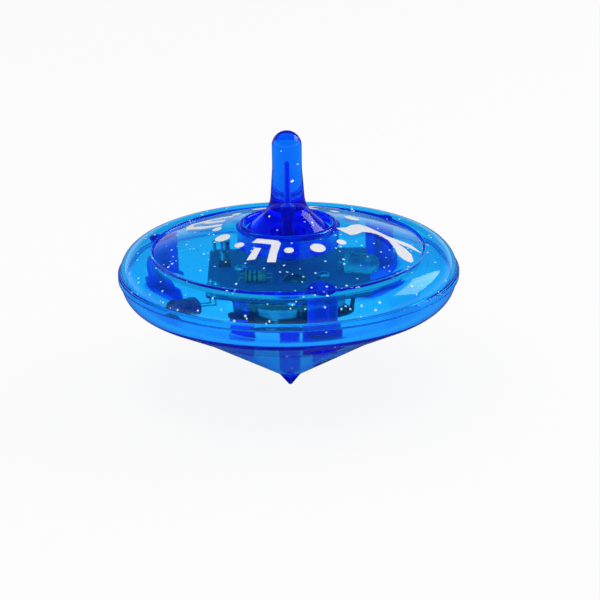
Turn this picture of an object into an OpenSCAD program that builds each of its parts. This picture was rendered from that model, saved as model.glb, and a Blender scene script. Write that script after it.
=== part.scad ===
// Light-up spinning dreidel: two translucent shells, a finger stem and a small flasher circuit.
// Millimetres. The origin is the end of the spinning tip and +Z runs up the spin axis.
// Angles run about +Z from +X, and -Y is the front. Heights called "up" start at the parting line.

/* [Body] */
// Largest diameter, over the lip of the upper shell
body_d = 90; // [86:1:100]
// Height of the parting line above the end of the tip
parting_h = 31.5; // [31:0.5:36]
// Wall of both shells
wall = 1.8; // [1.5:0.1:2.1]

/* [Upper shell] */
// Height of the lip that covers the parting line
lip_h = 1.6; // [1.2:0.1:2]
// How far the lip stands out from the shoulder
lip_out = 0.4; // [0.2:0.1:0.8]
// Radius of the rounded shoulder
shoulder_r = 6.9; // [6.4:0.1:7.4]
// Height of the shoulder's centre
shoulder_up = 0.85; // [0.6:0.05:1.2]
// Width of the shoulder inside its crest
crest_w = 1.7; // [1.2:0.1:2.2]
// Width of the groove between shoulder and panel
groove_w = 0.6; // [0.4:0.1:1]
// Depth of the groove below the shoulder
groove_d = 0.6; // [0.4:0.1:0.8]
// Drop from the shoulder's inner edge to the panel's outer edge
panel_drop = 0.3; // [0.1:0.05:0.4]
// Rise of the panel from its outer edge to the collar
panel_rise = 6.6; // [5.5:0.1:8]
// How far the panel bows out of a straight cone
panel_bow = 0.5; // [0.2:0.1:0.8]
// Inner radius of the well round the stem
well_r = 11.4; // [11:0.1:12.5]
// Width of the rounded collar round the well
collar_w = 1.6; // [1.4:0.1:2]
// Height of the collar above the panel's inner edge
collar_up = 0.5; // [0.3:0.1:0.6]
// Depth of the well below the collar's top
well_depth = 4.9; // [4:0.1:5.5]

/* [Lower shell] */
// How far the lower rim stands inside the lip
lower_in = 0.7; // [0.5:0.1:1]
// Radius of the rounded lower rim
lower_round_r = 7.1; // [6.6:0.1:7.6]
// Drop of that round's centre below the parting line
lower_round_down = 0.2; // [0.1:0.05:0.4]
// Slope of the upper cone, from level
cone_deg = 27.5; // [25:0.5:29]
// Radius of the crease where the lower cone starts
crease_r = 27; // [25:0.5:30]
// Height of the locating tongue
tongue_h = 1.4; // [1.1:0.1:1.8]
// Thickness of the locating tongue
tongue_t = 0.9; // [0.7:0.05:1]

/* [Spinning tip] */
// Radius of the tip at its shoulder
tip_r = 3.1; // [2.8:0.1:3.6]
// Length of the tip below its shoulder
tip_l = 3.5; // [3:0.1:4.2]
// Radius of the rounded end
tip_round = 0.7; // [0.5:0.05:1]
// Radius of the spigot that holds the tip
tip_spigot_r = 1.4; // [1.2:0.1:1.6]
// Length of that spigot
tip_spigot_l = 5.5; // [4:0.5:6.5]

/* [Finger stem] */
// Radius of the straight grip
stem_r = 3.9; // [3.6:0.1:4.4]
// Height of the stem's top
stem_up = 39; // [37:0.5:44]
// Length of the straight grip, below the rounded top
grip_l = 6; // [5:0.5:8]
// Length of the slow taper below the grip
taper_l = 7.6; // [6:0.2:9]
// Radius at the foot of that taper, where the flare starts
flare_r = 4.45; // [4.2:0.05:4.7]
// Depth of the plug below the flare's edge
plug_h = 2.8; // [2.2:0.1:3.4]
// Gap between plug and well
plug_gap = 0.4; // [0.3:0.05:0.6]
// Slope of the flare at its edge, from level
flare_deg = 55; // [48:1:60]
// How far the edge pulls the flare along that slope
flare_edge = 4.2; // [3.4:0.1:5]
// How far the taper pulls the flare along itself, as a share of the flare's height
flare_neck_share = 0.55; // [0.48:0.01:0.62]
// Radius of the spigot through the well's floor
spigot_r = 3.4; // [3:0.1:3.8]
// Radius of the screw's hole up the stem
core_r = 1.35; // [1.3:0.05:1.6]
// Depth of that hole beyond the screw's end
core_spare = 2.6; // [2:0.1:3.2]
// Radius of the narrow hole above it
core_pin_r = 0.55; // [0.4:0.05:0.7]
// Solid length above the narrow hole
core_cap = 7.7; // [6:0.1:9]
// Outer radius of the boss under the well's floor
stem_boss_r = 5.2; // [4.8:0.1:6]
// Height of that boss
stem_boss_h = 2; // [1.5:0.1:2.5]
// Outer radius of the washer
washer_r = 4.6; // [4.2:0.1:5]
// Thickness of the washer
washer_t = 0.6; // [0.5:0.1:0.8]

/* [Case screws] */
// Number of screw posts
post_count = 3; // [3:1:3]
// Angle of the first post
post_deg = -76.2; // [-80:0.2:-72]
// Distance of the posts in from the lip
post_in = 10.5; // [10:0.1:11]
// Radius of the upper posts
post_r = 3.8; // [3.5:0.1:4.1]
// Radius of the lower bosses
boss_r = 5; // [4.8:0.1:5.3]
// How far below the parting line the posts meet the bosses
post_down = 3.4; // [3:0.1:4]
// Thickness of the web under the screw head
web_t = 1.8; // [1.6:0.1:2.1]
// Radius of the counterbore for the screw head
counterbore_r = 3.5; // [3.3:0.1:3.7]
// Length of a case screw under its head
case_screw_l = 8.6; // [8:0.1:9]

/* [Screws] */
// Shank radius of the case and stem screws
screw_r = 1.25; // [1.1:0.05:1.25]
// Head radius of the case and stem screws
screw_head_r = 2.6; // [2.3:0.1:2.8]
// Head height of the case and stem screws
screw_head_h = 1.5; // [1.2:0.1:1.7]
// Length of the stem screw under its head
stem_screw_l = 11; // [9:0.5:14]
// Shank radius of the board and tray screws
small_screw_r = 0.95; // [0.8:0.05:1]
// Head radius of the board and tray screws
small_head_r = 1.8; // [1.6:0.1:2]
// Head height of the board and tray screws
small_head_h = 1.1; // [0.9:0.1:1.3]
// Length of the board and tray screws under the head
small_screw_l = 7; // [6:0.5:8]
// Width of the cross recess in the heads
recess_w = 0.7; // [0.6:0.05:0.8]
// Depth of the cross recess
recess_d = 0.6; // [0.4:0.05:0.7]

/* [Circuit board] */
// Width of the board across the front
board_w = 42; // [41:0.5:44]
// Depth of the board, front to back
board_l = 32; // [31.5:0.5:34]
// Thickness of the board
board_t = 1.2; // [1:0.1:1.6]
// Corner radius of the board
board_corner_r = 2; // [1:0.5:2.5]
// Height of the board's underside
board_up = 0.3; // [0.1:0.1:0.8]
// Distance of the standoffs from the axis
standoff_orbit = 13; // [12.8:0.1:13.4]
// Radius of a standoff below its shoulder
standoff_r = 3.2; // [2.9:0.1:3.5]
// Radius of a standoff above its shoulder
standoff_neck_r = 2; // [1.9:0.1:2.2]
// Radius of the black drop over the flasher chip
chip_r = 3.4; // [3:0.1:3.6]
// Height of that drop
chip_h = 1.5; // [1.2:0.1:2]
// Place of the chip across the board
chip_x = 1.6; // [1:0.1:2.2]
// Distance of the chip from the board's front edge
chip_in = 5.4; // [5:0.1:6]

/* [Cells] */
// Diameter of a button cell
cell_d = 11.6; // [11.4:0.1:11.6]
// Height of a button cell
cell_h = 5.4; // [4.2:0.1:5.6]
// Distance of the cells from the axis
cell_orbit = 9; // [9:0.1:9.4]
// Angle of the front cell
cell_deg = -106; // [-110:0.5:-103]
// Gap between the straps and the board
strap_gap = 4; // [3.4:0.1:4.5]
// Thickness of the strap metal
strap_t = 0.4; // [0.3:0.05:0.5]
// Width of a strap
strap_w = 4; // [3:0.2:5]
// Thickness of the contact plates
plate_t = 0.3; // [0.2:0.05:0.4]
// Radius of the contact plates
plate_r = 4.6; // [4:0.1:5]
// Length of a contact plate's tail outside its cell
tail_l = 2.4; // [2:0.1:2.8]
// Width of that tail
tail_w = 2.4; // [2:0.1:3]
// Thickness of the tray's floor
tray_t = 1.2; // [1:0.1:1.6]
// Thickness of the low rims round the cells
rim_t = 1; // [0.8:0.1:1.2]
// Height of those rims
rim_h = 1.8; // [1.4:0.1:2.4]
// Margin of the tray round its rims and holes
tray_margin = 1.6; // [1.2:0.1:2]
// Radius of the tray's middle disc
tray_hub_r = 8; // [6:0.5:9]
// Radius of the pillar under the tray
pillar_r = 2.8; // [2.6:0.1:3.2]
// Radius of the insulated cell leads
lead_r = 0.6; // [0.5:0.05:0.7]

/* [Lamps] */
// Radius of a lamp's body
lamp_r = 2.5; // [2.3:0.1:2.6]
// How far a lamp's flange stands out
lamp_flange = 0.4; // [0.3:0.05:0.5]
// Thickness of the flange
lamp_flange_t = 1; // [0.8:0.1:1.2]
// Length of a lamp
lamp_l = 8.6; // [8:0.1:8.8]
// Radius of the lamp's and the resistors' wires
wire_r = 0.25; // [0.2:0.05:0.3]
// Spacing of a lamp's two wires
wire_pitch = 2.54; // [2.2:0.02:2.6]
// How far the wires' ends stand out of the board
wire_end = 0.8; // [0.6:0.1:1.2]
// Angle of the green lamp
green_deg = -22; // [-26:0.5:-18]
// Distance of the green lamp's back from the board's end
green_in = 4.5; // [4:0.1:5]
// Angle of the red lamp
red_deg = 213.8; // [210:0.2:217]
// Gap between the red lamp's flange and the board's underside
red_gap = 0.1; // [0.1:0.1:0.6]
// Distance of the red lamp's holes from the board's edge
red_hole_in = 1.9; // [1.6:0.1:2.4]
// Run of the green lamp's wires before they turn down
green_run = 2; // [1.6:0.1:2.4]

/* [Resistors] */
// Radius of a resistor's waist
resistor_r = 0.9; // [0.8:0.05:1]
// How far its end caps stand out
resistor_cap = 0.2; // [0.1:0.05:0.3]
// Length of a resistor's body
resistor_l = 5.2; // [4.6:0.1:5.6]
// Spacing of the holes its wires go through
resistor_span = 8.4; // [7.8:0.2:9]
// Place of the resistors across the board
resistor_x = -8.6; // [-9:0.1:-8.2]
// Distance of the first resistor from the board's front edge
resistor_in = 3.2; // [3:0.1:3.6]
// Spacing of the two resistors
resistor_pitch = 3.4; // [3:0.1:3.8]

/* [Centrifugal switch] */
// Distance of the arm's pivot from the board's end
switch_in = 4.2; // [4:0.1:4.6]
// Place of the pivot, front to back
switch_y = 2; // [1.6:0.1:2.4]
// Distance from pivot to weight
arm_l = 9.6; // [9:0.1:10]
// Thickness of the arm's strip
arm_t = 0.3; // [0.25:0.05:0.4]
// Height of the arm's strip
arm_h = 2.2; // [1.8:0.1:2.6]
// Height of the arm above the switch base
arm_up = 0.3; // [0.2:0.05:0.5]
// Radius of the pivot post
pivot_r = 0.6; // [0.5:0.05:0.7]
// Wall of the eye rolled round the pivot
eye_wall = 0.35; // [0.3:0.05:0.45]
// Radius of the weight
weight_r = 1.3; // [1.1:0.1:1.5]
// Height of the weight
weight_h = 2.8; // [2.2:0.1:3.2]
// Radius of the fixed contact pin
pin_r = 0.5; // [0.4:0.05:0.6]
// Angle through which the arm swings
swing_deg = 6; // [5:0.5:7]
// Width of the switch base
switch_w = 3; // [2.6:0.1:3.2]
// Length of the switch base
switch_l = 4; // [3.4:0.1:4.4]
// Height of the switch base
switch_h = 1; // [0.8:0.1:1.4]

/* [Clearances] */
// Gap round screws in their holes
screw_gap = 0.05; // [0.03:0.01:0.1]
// Gap round spigots, tongues and pivots
slide_gap = 0.08; // [0.05:0.01:0.12]
// Gap round cells and through slots
loose_gap = 0.15; // [0.1:0.05:0.25]
// Gap left between posts and bosses
seat_gap = 0.1; // [0.05:0.05:0.2]

/* [Hidden] */
$fn = 96;
// Overrun of cuts
cut = 1;

shell_blue = [0, 0.45, 0.95, 0.5];
deep_blue = [0, 0.2, 0.8, 0.8];
steel = [0.72, 0.73, 0.75];
nickel = [0.8, 0.78, 0.72];
board_blue = [0.05, 0.16, 0.36];
black = [0.05, 0.05, 0.06];
tan = [0.78, 0.66, 0.46];
lamp_green = [0.3, 0.9, 0.4, 0.7];
lamp_red = [0.9, 0.1, 0.1, 0.7];
lead_red = [0.75, 0.08, 0.08];

body_r = body_d / 2;
crest_r = body_r - lip_out - shoulder_r;
collar_round = collar_w / 2;
collar_r = well_r + collar_round;
cup_r = well_r + wall;
post_orbit = body_r - post_in;

// Steps in each curve
rim_steps = 20;
bow_steps = 10;
collar_steps = 10;
flare_steps = 18;
tip_steps = 8;

function arc(c, r, a0, a1, n) = [for (i = [0:n]) let(a = a0 + (a1 - a0) * i / n) c + r * [cos(a), sin(a)]];
function unit(v) = v / norm(v);
function side(v) = [-v.y, v.x];
function bow(p, q, rise, n) =
    [for (i = [0:n]) let(t = i / n) p + (q - p) * t + side(unit(q - p)) * rise * 4 * t * (1 - t)];
function flip(p) = [for (i = [len(p) - 1:-1:0]) p[i]];
function curve(p, a, b, q, n) = [
    for (i = [0:n])
        let(t = i / n, u = 1 - t)
            u * u * u * p + 3 * u * u * t * a + 3 * u * t * t * b + t * t * t * q
];

// Upper shell, outside, from the parting line to the axis
shoulder_c = [crest_r, shoulder_up];
shoulder_a0 = asin((lip_h - shoulder_up) / shoulder_r);
shoulder_a1 = acos(-crest_w / shoulder_r);
shoulder_out = arc(shoulder_c, shoulder_r, shoulder_a0, shoulder_a1, rim_steps);
ring_a = shoulder_out[rim_steps];
groove_share = 0.35;
ring_b = ring_a - [groove_w * groove_share, groove_d];
ring_c = ring_a - [groove_w, panel_drop];
panel_top = ring_c.y + panel_rise;
collar_a0 = asin((collar_round - collar_up) / collar_round);
collar_top = panel_top + collar_up;
collar_c = [collar_r, collar_top - collar_round];
panel_end = [collar_r + collar_round * cos(collar_a0), panel_top];
floor_up = collar_top - well_depth;
upper_outer = concat(
    [[body_r, 0], [body_r, lip_h]],
    shoulder_out,
    [ring_b],
    bow(ring_c, panel_end, -panel_bow, bow_steps),
    arc(collar_c, collar_round, collar_a0, 180, collar_steps),
    [[well_r, floor_up], [0, floor_up]]
);

// Upper shell, inside, from the axis to the parting line
ring_shift = wall * [cos(shoulder_a1), sin(shoulder_a1)];
panel_side = side(unit(ring_c - panel_end));
panel_inner_a = ring_c - wall * [abs(panel_side.x), abs(panel_side.y)];
panel_slope = (panel_end.y - ring_c.y) / (ring_c.x - panel_end.x);
panel_inner_b = [cup_r, panel_inner_a.y + panel_slope * (panel_inner_a.x - cup_r)];
shoulder_in_r = shoulder_r - wall;
shoulder_in_a0 = asin(-shoulder_up / shoulder_in_r);
upper_inner = concat(
    [[0, floor_up - wall], [cup_r, floor_up - wall]],
    flip(bow(panel_inner_a, panel_inner_b, -panel_bow, bow_steps)),
    [ring_c - ring_shift, ring_b - ring_shift],
    arc(shoulder_c, shoulder_in_r, shoulder_a1, shoulder_in_a0, rim_steps)
);

// Lower shell, outside, from the parting line to the tip's shoulder
round_c = [body_r - lower_in - lower_round_r, -lower_round_down];
round_a0 = asin(lower_round_down / lower_round_r);
round_out = arc(round_c, lower_round_r, round_a0, cone_deg - 90, rim_steps);
round_end = round_out[rim_steps];
crease = [crease_r, round_end.y - (round_end.x - crease_r) * tan(cone_deg)];
tip_seat = [tip_r, tip_l - parting_h];
lower_outer = concat(round_out, [crease, tip_seat, [0, tip_seat.y]]);

// Lower shell, inside, from the axis to the parting line
cone_side = unit(side(crease - round_end));
lower_side = unit(side(tip_seat - crease));
crease_side = cone_side + lower_side;
crease_in = crease - crease_side * 2 * wall / (crease_side * crease_side);
apex_in = tip_seat - lower_side * wall;
round_in_r = lower_round_r - wall;
round_in_a0 = asin(lower_round_down / round_in_r);
round_in = arc(round_c, round_in_r, cone_deg - 90, round_in_a0, rim_steps);
rim_in_r = round_in[rim_steps].x;
lower_inner = concat([[0, apex_in.y], apex_in, crease_in], round_in);
tongue_r = rim_in_r + tongue_t;

// Stem levels
grip_top = stem_up - stem_r;
grip_bottom = grip_top - grip_l;
flare_top = grip_bottom - taper_l;
foot_r = well_r - plug_gap;
foot_top = floor_up + plug_h;
cup_under = floor_up - wall;
boss_under = cup_under - stem_boss_h;
core_top = boss_under - washer_t + stem_screw_l + core_spare;
core_pin_top = stem_up - core_cap;

// Screw levels
boss_top = -post_down;
web_under = boss_top - web_t;
screw_bore_r = screw_r + screw_gap;
small_bore_r = small_screw_r + screw_gap;
bore_spare = 0.6;
pilot_top = web_under + case_screw_l + bore_spare;

// Circuit levels
board_top = board_up + board_t;
strap_top = board_up - strap_gap;
cell_top = strap_top - strap_t;
cell_r = cell_d / 2;
cell_under = cell_top - cell_h;
tray_top = cell_under - plate_t;
tray_under = tray_top - tray_t;
pocket_r = cell_r + loose_gap;
rim_out_r = pocket_r + rim_t;
strap_y = cell_r + loose_gap;
cell_step = 360 / 3;
standoff_deg = cell_deg + cell_step / 2;
lead_at = rim_out_r + tail_l / 2;

// Places on the board
chip_at = [chip_x, chip_in - board_l / 2];
resistor_at = [resistor_x, resistor_in - board_l / 2];
switch_at = [switch_in - board_w / 2, switch_y];
green_at = board_w / 2 - green_in;
green_up = board_top + lamp_r + lamp_flange;

// The red lamp stands between its holes at the board's edge and the wall
red_up = board_up - red_gap - lamp_r - lamp_flange;
red_wall_r = round_c.x + sqrt(pow(round_in_r, 2) - pow(red_up - round_c.y, 2));
red_hole_r = min(board_w / abs(cos(red_deg)), board_l / abs(sin(red_deg))) / 2 - red_hole_in;
red_share = 0.55;
red_run = (red_wall_r - red_hole_r - lamp_l) * red_share;
red_at = red_hole_r + red_run;

// Switch levels
eye_in_r = pivot_r + slide_gap;
eye_r = eye_in_r + eye_wall;
arm_under = board_top + switch_h + arm_up;
arm_mid = arm_under + arm_h / 2;
weight_stop = weight_r + pin_r + slide_gap;
pin_at = switch_at + arm_l * [-sin(swing_deg), cos(swing_deg)] - [weight_stop, 0];

// A rod between two heights
module rod(r, z0, z1) {
    translate([0, 0, z0])
        cylinder(h = z1 - z0, r = r);
}

// A tube between two heights
module tube(r_in, r_out, z0, z1) {
    difference() {
        rod(r_out, z0, z1);
        rod(r_in, z0 - cut, z1 + cut);
    }
}

// A block centred on its own x and y
module block(size, z0) {
    translate([-size.x / 2, -size.y / 2, z0])
        cube(size);
}

module at_posts() {
    for (i = [0:post_count - 1])
        rotate([0, 0, post_deg + i * 360 / post_count])
            translate([post_orbit, 0, 0])
                children();
}

module at_standoffs() {
    for (i = [0:2])
        rotate([0, 0, standoff_deg + i * cell_step])
            translate([standoff_orbit, 0, 0])
                children();
}

module at_cell(i) {
    rotate([0, 0, cell_deg + i * cell_step])
        translate([cell_orbit, 0, 0])
            children();
}

// A pan-head screw that points up, with the underside of its head at zero
module screw(r, l, head_r, head_h) {
    point_l = r;
    edge = head_h / 2;
    recess_share = 1.1;
    difference() {
        rotate_extrude()
            polygon(concat(
                [[0, l], [r / 2, l], [r, l - point_l], [r, 0], [head_r, 0], [head_r, -edge]],
                [for (a = [15:15:75]) [head_r - edge + edge * cos(a), -edge - edge * sin(a)]],
                [[0, -head_h]]
            ));
        for (a = [0, 90])
            rotate([0, 0, a])
                block([recess_w, head_r * recess_share, recess_d + cut], -head_h - cut);
    }
}

module upper_shell() {
    crown = collar_top;
    color(shell_blue)
        translate([0, 0, parting_h])
            difference() {
                union() {
                    rotate_extrude()
                        polygon(concat(upper_outer, upper_inner));
                    intersection() {
                        rotate_extrude()
                            polygon(concat([[0, boss_top], [body_r, boss_top]], upper_outer));
                        at_posts()
                            rod(post_r, boss_top + seat_gap, crown);
                    }
                    tube(spigot_r + slide_gap, stem_boss_r, boss_under, cup_under + wall / 2);
                }
                tube(rim_in_r - cut, tongue_r + slide_gap, -cut, tongue_h + slide_gap);
                rod(spigot_r + slide_gap, boss_under - cut, floor_up + cut);
                at_posts()
                    rod(screw_bore_r, boss_top - cut, pilot_top);
            }
}

module lower_shell() {
    base = tip_seat.y;
    color(shell_blue)
        translate([0, 0, parting_h])
            difference() {
                union() {
                    rotate_extrude()
                        polygon(concat(lower_outer, lower_inner));
                    tube(rim_in_r, tongue_r, -tongue_t, tongue_h);
                    intersection() {
                        rotate_extrude()
                            polygon(concat([[0, board_up], [round_out[0].x, board_up]], lower_outer));
                        union() {
                            at_posts()
                                rod(boss_r, base, boss_top);
                            at_standoffs()
                                rod(standoff_r, base, tray_under);
                            at_standoffs()
                                rod(standoff_neck_r, base, board_up);
                            rod(pillar_r, base, tray_under);
                        }
                    }
                }
                at_posts()
                    rod(counterbore_r, base, web_under);
                at_posts()
                    rod(screw_bore_r, web_under - cut, boss_top + cut);
                at_standoffs()
                    rod(small_bore_r, board_up - small_screw_l, board_up + cut);
                rod(small_bore_r, tray_top - small_screw_l - bore_spare, tray_under + cut);
                rod(tip_spigot_r + slide_gap, base - cut, base + tip_spigot_l + bore_spare);
            }
}

module spinning_tip() {
    c = [0, tip_round];
    shoulder = [tip_r, tip_l];
    to_shoulder = shoulder - c;
    touch_a = atan2(to_shoulder.y, to_shoulder.x) - acos(tip_round / norm(to_shoulder));
    color(deep_blue)
        rotate_extrude()
            polygon(concat(
                arc(c, tip_round, -90, touch_a, tip_steps),
                [shoulder, [tip_spigot_r, tip_l], [tip_spigot_r, tip_l + tip_spigot_l]],
                [[0, tip_l + tip_spigot_l]]
            ));
}

module finger_stem() {
    edge = [foot_r, foot_top];
    neck = [flare_r, flare_top];
    edge_pull = flare_edge * [-cos(flare_deg), sin(flare_deg)];
    neck_pull = flare_neck_share * (flare_top - foot_top) * [(stem_r - flare_r) / taper_l, 1];
    color(shell_blue)
        translate([0, 0, parting_h])
            rotate_extrude()
                polygon(concat(
                    [[core_r, boss_under + seat_gap], [spigot_r, boss_under + seat_gap]],
                    [[spigot_r, floor_up], [foot_r, floor_up]],
                    curve(edge, edge + edge_pull, neck - neck_pull, neck, flare_steps),
                    [[stem_r, grip_bottom]],
                    arc([0, grip_top], stem_r, 0, 90, rim_steps),
                    [[0, core_pin_top], [core_pin_r, core_pin_top - core_pin_r]],
                    [[core_pin_r, core_top + core_r - core_pin_r], [core_r, core_top]]
                ));
}

module stem_washer() {
    color(steel)
        translate([0, 0, parting_h])
            tube(screw_bore_r, washer_r, boss_under - washer_t, boss_under);
}

module stem_screw() {
    color(steel)
        translate([0, 0, parting_h + boss_under - washer_t])
            screw(screw_r, stem_screw_l, screw_head_r, screw_head_h);
}

module case_screws() {
    color(steel)
        translate([0, 0, parting_h + web_under])
            at_posts()
                screw(screw_r, case_screw_l, screw_head_r, screw_head_h);
}

// The two wire holes or wires of a lamp, in the lamp's own direction
module at_wires() {
    for (s = [-1, 1])
        translate([0, s * wire_pitch / 2, 0])
            children();
}

module at_green() {
    rotate([0, 0, green_deg])
        translate([green_at, 0, 0])
            children();
}

module at_red() {
    rotate([0, 0, red_deg])
        translate([red_at, 0, 0])
            children();
}

module at_resistor(i) {
    translate([resistor_at.x, resistor_at.y + i * resistor_pitch, 0])
        children();
}

module board_outline() {
    x = board_w / 2 - board_corner_r;
    y = board_l / 2 - board_corner_r;
    square([board_w, board_l - 2 * board_corner_r], center = true);
    square([board_w - 2 * board_corner_r, board_l], center = true);
    for (sx = [-1, 1], sy = [-1, 1])
        translate([sx * x, sy * y])
            circle(r = board_corner_r);
}

module circuit_board() {
    hole_r = wire_r + loose_gap;
    low = board_up - cut;
    high = board_top + cut;
    color(board_blue)
        translate([0, 0, parting_h])
            difference() {
                translate([0, 0, board_up])
                    linear_extrude(height = board_t)
                        board_outline();
                at_standoffs()
                    rod(small_bore_r, low, high);
                at_green()
                    translate([-green_run, 0, 0])
                        at_wires()
                            rod(hole_r, low, high);
                at_red()
                    translate([-red_run, 0, 0])
                        at_wires()
                            rod(hole_r, low, high);
                for (i = [0, 1], s = [-1, 1])
                    at_resistor(i)
                        translate([s * resistor_span / 2, 0, 0])
                            rod(hole_r, low, high);
                translate(pin_at)
                    rod(pin_r + slide_gap, low, high);
            }
}

module board_screws() {
    color(steel)
        translate([0, 0, parting_h + board_top])
            at_standoffs()
                mirror([0, 0, 1])
                    screw(small_screw_r, small_screw_l, small_head_r, small_head_h);
}

module flasher_chip() {
    drop_r = (chip_r * chip_r + chip_h * chip_h) / (2 * chip_h);
    color(black)
        translate([chip_at.x, chip_at.y, parting_h + board_top])
            rotate_extrude()
                polygon(concat(
                    arc([0, chip_h - drop_r], drop_r, asin((drop_r - chip_h) / drop_r), 90, collar_steps),
                    [[0, 0]]
                ));
}

module resistor(i) {
    cap_r = resistor_r + resistor_cap;
    cap_share = 0.22;
    cap_l = resistor_l * cap_share;
    mid = board_top + cap_r;
    half = resistor_l / 2;
    color(tan)
        translate([0, 0, parting_h])
            at_resistor(i) {
                translate([0, 0, mid])
                    rotate([0, 90, 0])
                        rotate_extrude()
                            polygon([
                                [0, -half], [resistor_r, -half], [cap_r, -half + cap_l / 2], [resistor_r, -half + cap_l],
                                [resistor_r, half - cap_l], [cap_r, half - cap_l / 2], [resistor_r, half], [0, half]
                            ]);
                translate([0, 0, mid])
                    rotate([0, 90, 0])
                        rod(wire_r, -resistor_span / 2, resistor_span / 2);
                for (s = [-1, 1])
                    translate([s * resistor_span / 2, 0, 0]) {
                        rod(wire_r, board_up - wire_end, mid);
                        translate([0, 0, mid])
                            sphere(r = wire_r);
                    }
            }
}

module strap_slots() {
    for (s = [-1, 1])
        translate([0, s * (strap_y + strap_t / 2), 0])
            square([strap_w + 2 * loose_gap, strap_t + 2 * loose_gap], center = true);
}

module tray_floor() {
    difference() {
        union() {
            circle(r = tray_hub_r);
            at_standoffs()
                circle(r = standoff_neck_r + tray_margin);
            for (i = [0:2])
                at_cell(i)
                    circle(r = rim_out_r + tray_margin);
        }
        for (i = [0:2])
            at_cell(i)
                strap_slots();
        at_standoffs()
            circle(r = standoff_neck_r + loose_gap);
        circle(r = small_bore_r);
    }
}

module tray_rim() {
    difference() {
        circle(r = rim_out_r);
        circle(r = pocket_r);
        strap_slots();
        translate([0, -tail_w / 2 - loose_gap])
            square([rim_out_r + cut, tail_w + 2 * loose_gap]);
    }
}

module battery_tray() {
    color(black)
        translate([0, 0, parting_h]) {
            translate([0, 0, tray_under])
                linear_extrude(height = tray_t)
                    tray_floor();
            for (i = [0:2])
                at_cell(i)
                    translate([0, 0, tray_top - tray_t / 2])
                        linear_extrude(height = rim_h + tray_t / 2)
                            tray_rim();
        }
}

module tray_screw() {
    color(steel)
        translate([0, 0, parting_h + tray_top])
            mirror([0, 0, 1])
                screw(small_screw_r, small_screw_l, small_head_r, small_head_h);
}

module button_cell(i) {
    seam_share = 0.72;
    cap_share = 0.8;
    step = cell_h * (1 - seam_share) / 2;
    edge_r = strap_t;
    cap_r = cell_r * cap_share;
    color(steel)
        translate([0, 0, parting_h + cell_under])
            at_cell(i)
                rotate_extrude()
                    polygon(concat(
                        [[0, 0], [cap_r, 0], [cap_r, step], [cell_r - edge_r, step]],
                        arc([cell_r - edge_r, step + edge_r], edge_r, -90, 0, tip_steps),
                        arc([cell_r - edge_r, cell_h - edge_r], edge_r, 0, 90, tip_steps),
                        [[0, cell_h]]
                    ));
}

module cell_strap(i) {
    span = strap_y + strap_t;
    color(nickel)
        translate([0, 0, parting_h])
            at_cell(i) {
                block([strap_w, 2 * span, strap_t], cell_top);
                for (s = [-1, 1])
                    translate([0, s * (strap_y + strap_t / 2), 0])
                        block([strap_w, strap_t, strap_top - tray_under], tray_under);
            }
}

module contact_plate(i) {
    color(nickel)
        translate([0, 0, parting_h])
            at_cell(i) {
                rod(plate_r, tray_top, cell_under);
                translate([0, -tail_w / 2, tray_top])
                    cube([lead_at + lead_r, tail_w, plate_t]);
            }
}

module cell_lead(i, shade) {
    color(shade)
        translate([0, 0, parting_h])
            at_cell(i)
                translate([lead_at, 0, 0])
                    rod(lead_r, cell_under, board_up);
}

// A lamp that points along +X from its back
module lamp() {
    rotate([0, 90, 0])
        rotate_extrude()
            polygon(concat(
                [[0, 0], [lamp_r + lamp_flange, 0], [lamp_r + lamp_flange, lamp_flange_t], [lamp_r, lamp_flange_t]],
                arc([0, lamp_l - lamp_r], lamp_r, 0, 90, rim_steps)
            ));
}

// Two wires from a lamp's back that run in and then turn to another height
module lamp_wires(run, axis_z, end_z) {
    low = min(axis_z, end_z);
    high = max(axis_z, end_z);
    at_wires() {
        translate([0, 0, axis_z])
            rotate([0, -90, 0])
                rod(wire_r, 0, run);
        translate([-run, 0, axis_z])
            sphere(r = wire_r);
        translate([-run, 0, 0])
            rod(wire_r, low, high);
    }
}

module green_lamp() {
    color(lamp_green)
        translate([0, 0, parting_h + green_up])
            at_green()
                lamp();
}

module green_lamp_wires() {
    color(steel)
        translate([0, 0, parting_h])
            at_green()
                lamp_wires(green_run, green_up, board_up - wire_end);
}

module red_lamp() {
    color(lamp_red)
        translate([0, 0, parting_h + red_up])
            at_red()
                lamp();
}

module red_lamp_wires() {
    color(steel)
        translate([0, 0, parting_h])
            at_red()
                lamp_wires(red_run, red_up, board_top + wire_end);
}

module switch_base() {
    color(black)
        translate([switch_at.x, switch_at.y, parting_h]) {
            block([switch_w, switch_l, switch_h], board_top);
            rod(pivot_r, board_top, arm_under + arm_h + arm_up);
            rod(eye_r, board_top, arm_under - slide_gap);
        }
}

module switch_pin() {
    color(nickel)
        translate([pin_at.x, pin_at.y, parting_h])
            rod(pin_r, board_up - wire_end, arm_under + arm_h + arm_up);
}

module switch_arm() {
    strip_l = arm_l + weight_r;
    color(nickel)
        translate([switch_at.x, switch_at.y, parting_h])
            difference() {
                union() {
                    rod(eye_r, arm_under, arm_under + arm_h);
                    translate([-arm_t / 2, 0, arm_under])
                        cube([arm_t, strip_l, arm_h]);
                }
                rod(eye_in_r, arm_under - cut, arm_under + arm_h + cut);
            }
}

module switch_weight() {
    color(steel)
        translate([switch_at.x, switch_at.y + arm_l, parting_h])
            difference() {
                rod(weight_r, arm_mid - weight_h / 2, arm_mid + weight_h / 2);
                block([arm_t + 2 * screw_gap, 2 * weight_r + cut, arm_h + 2 * screw_gap], arm_under - screw_gap);
            }
}

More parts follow.
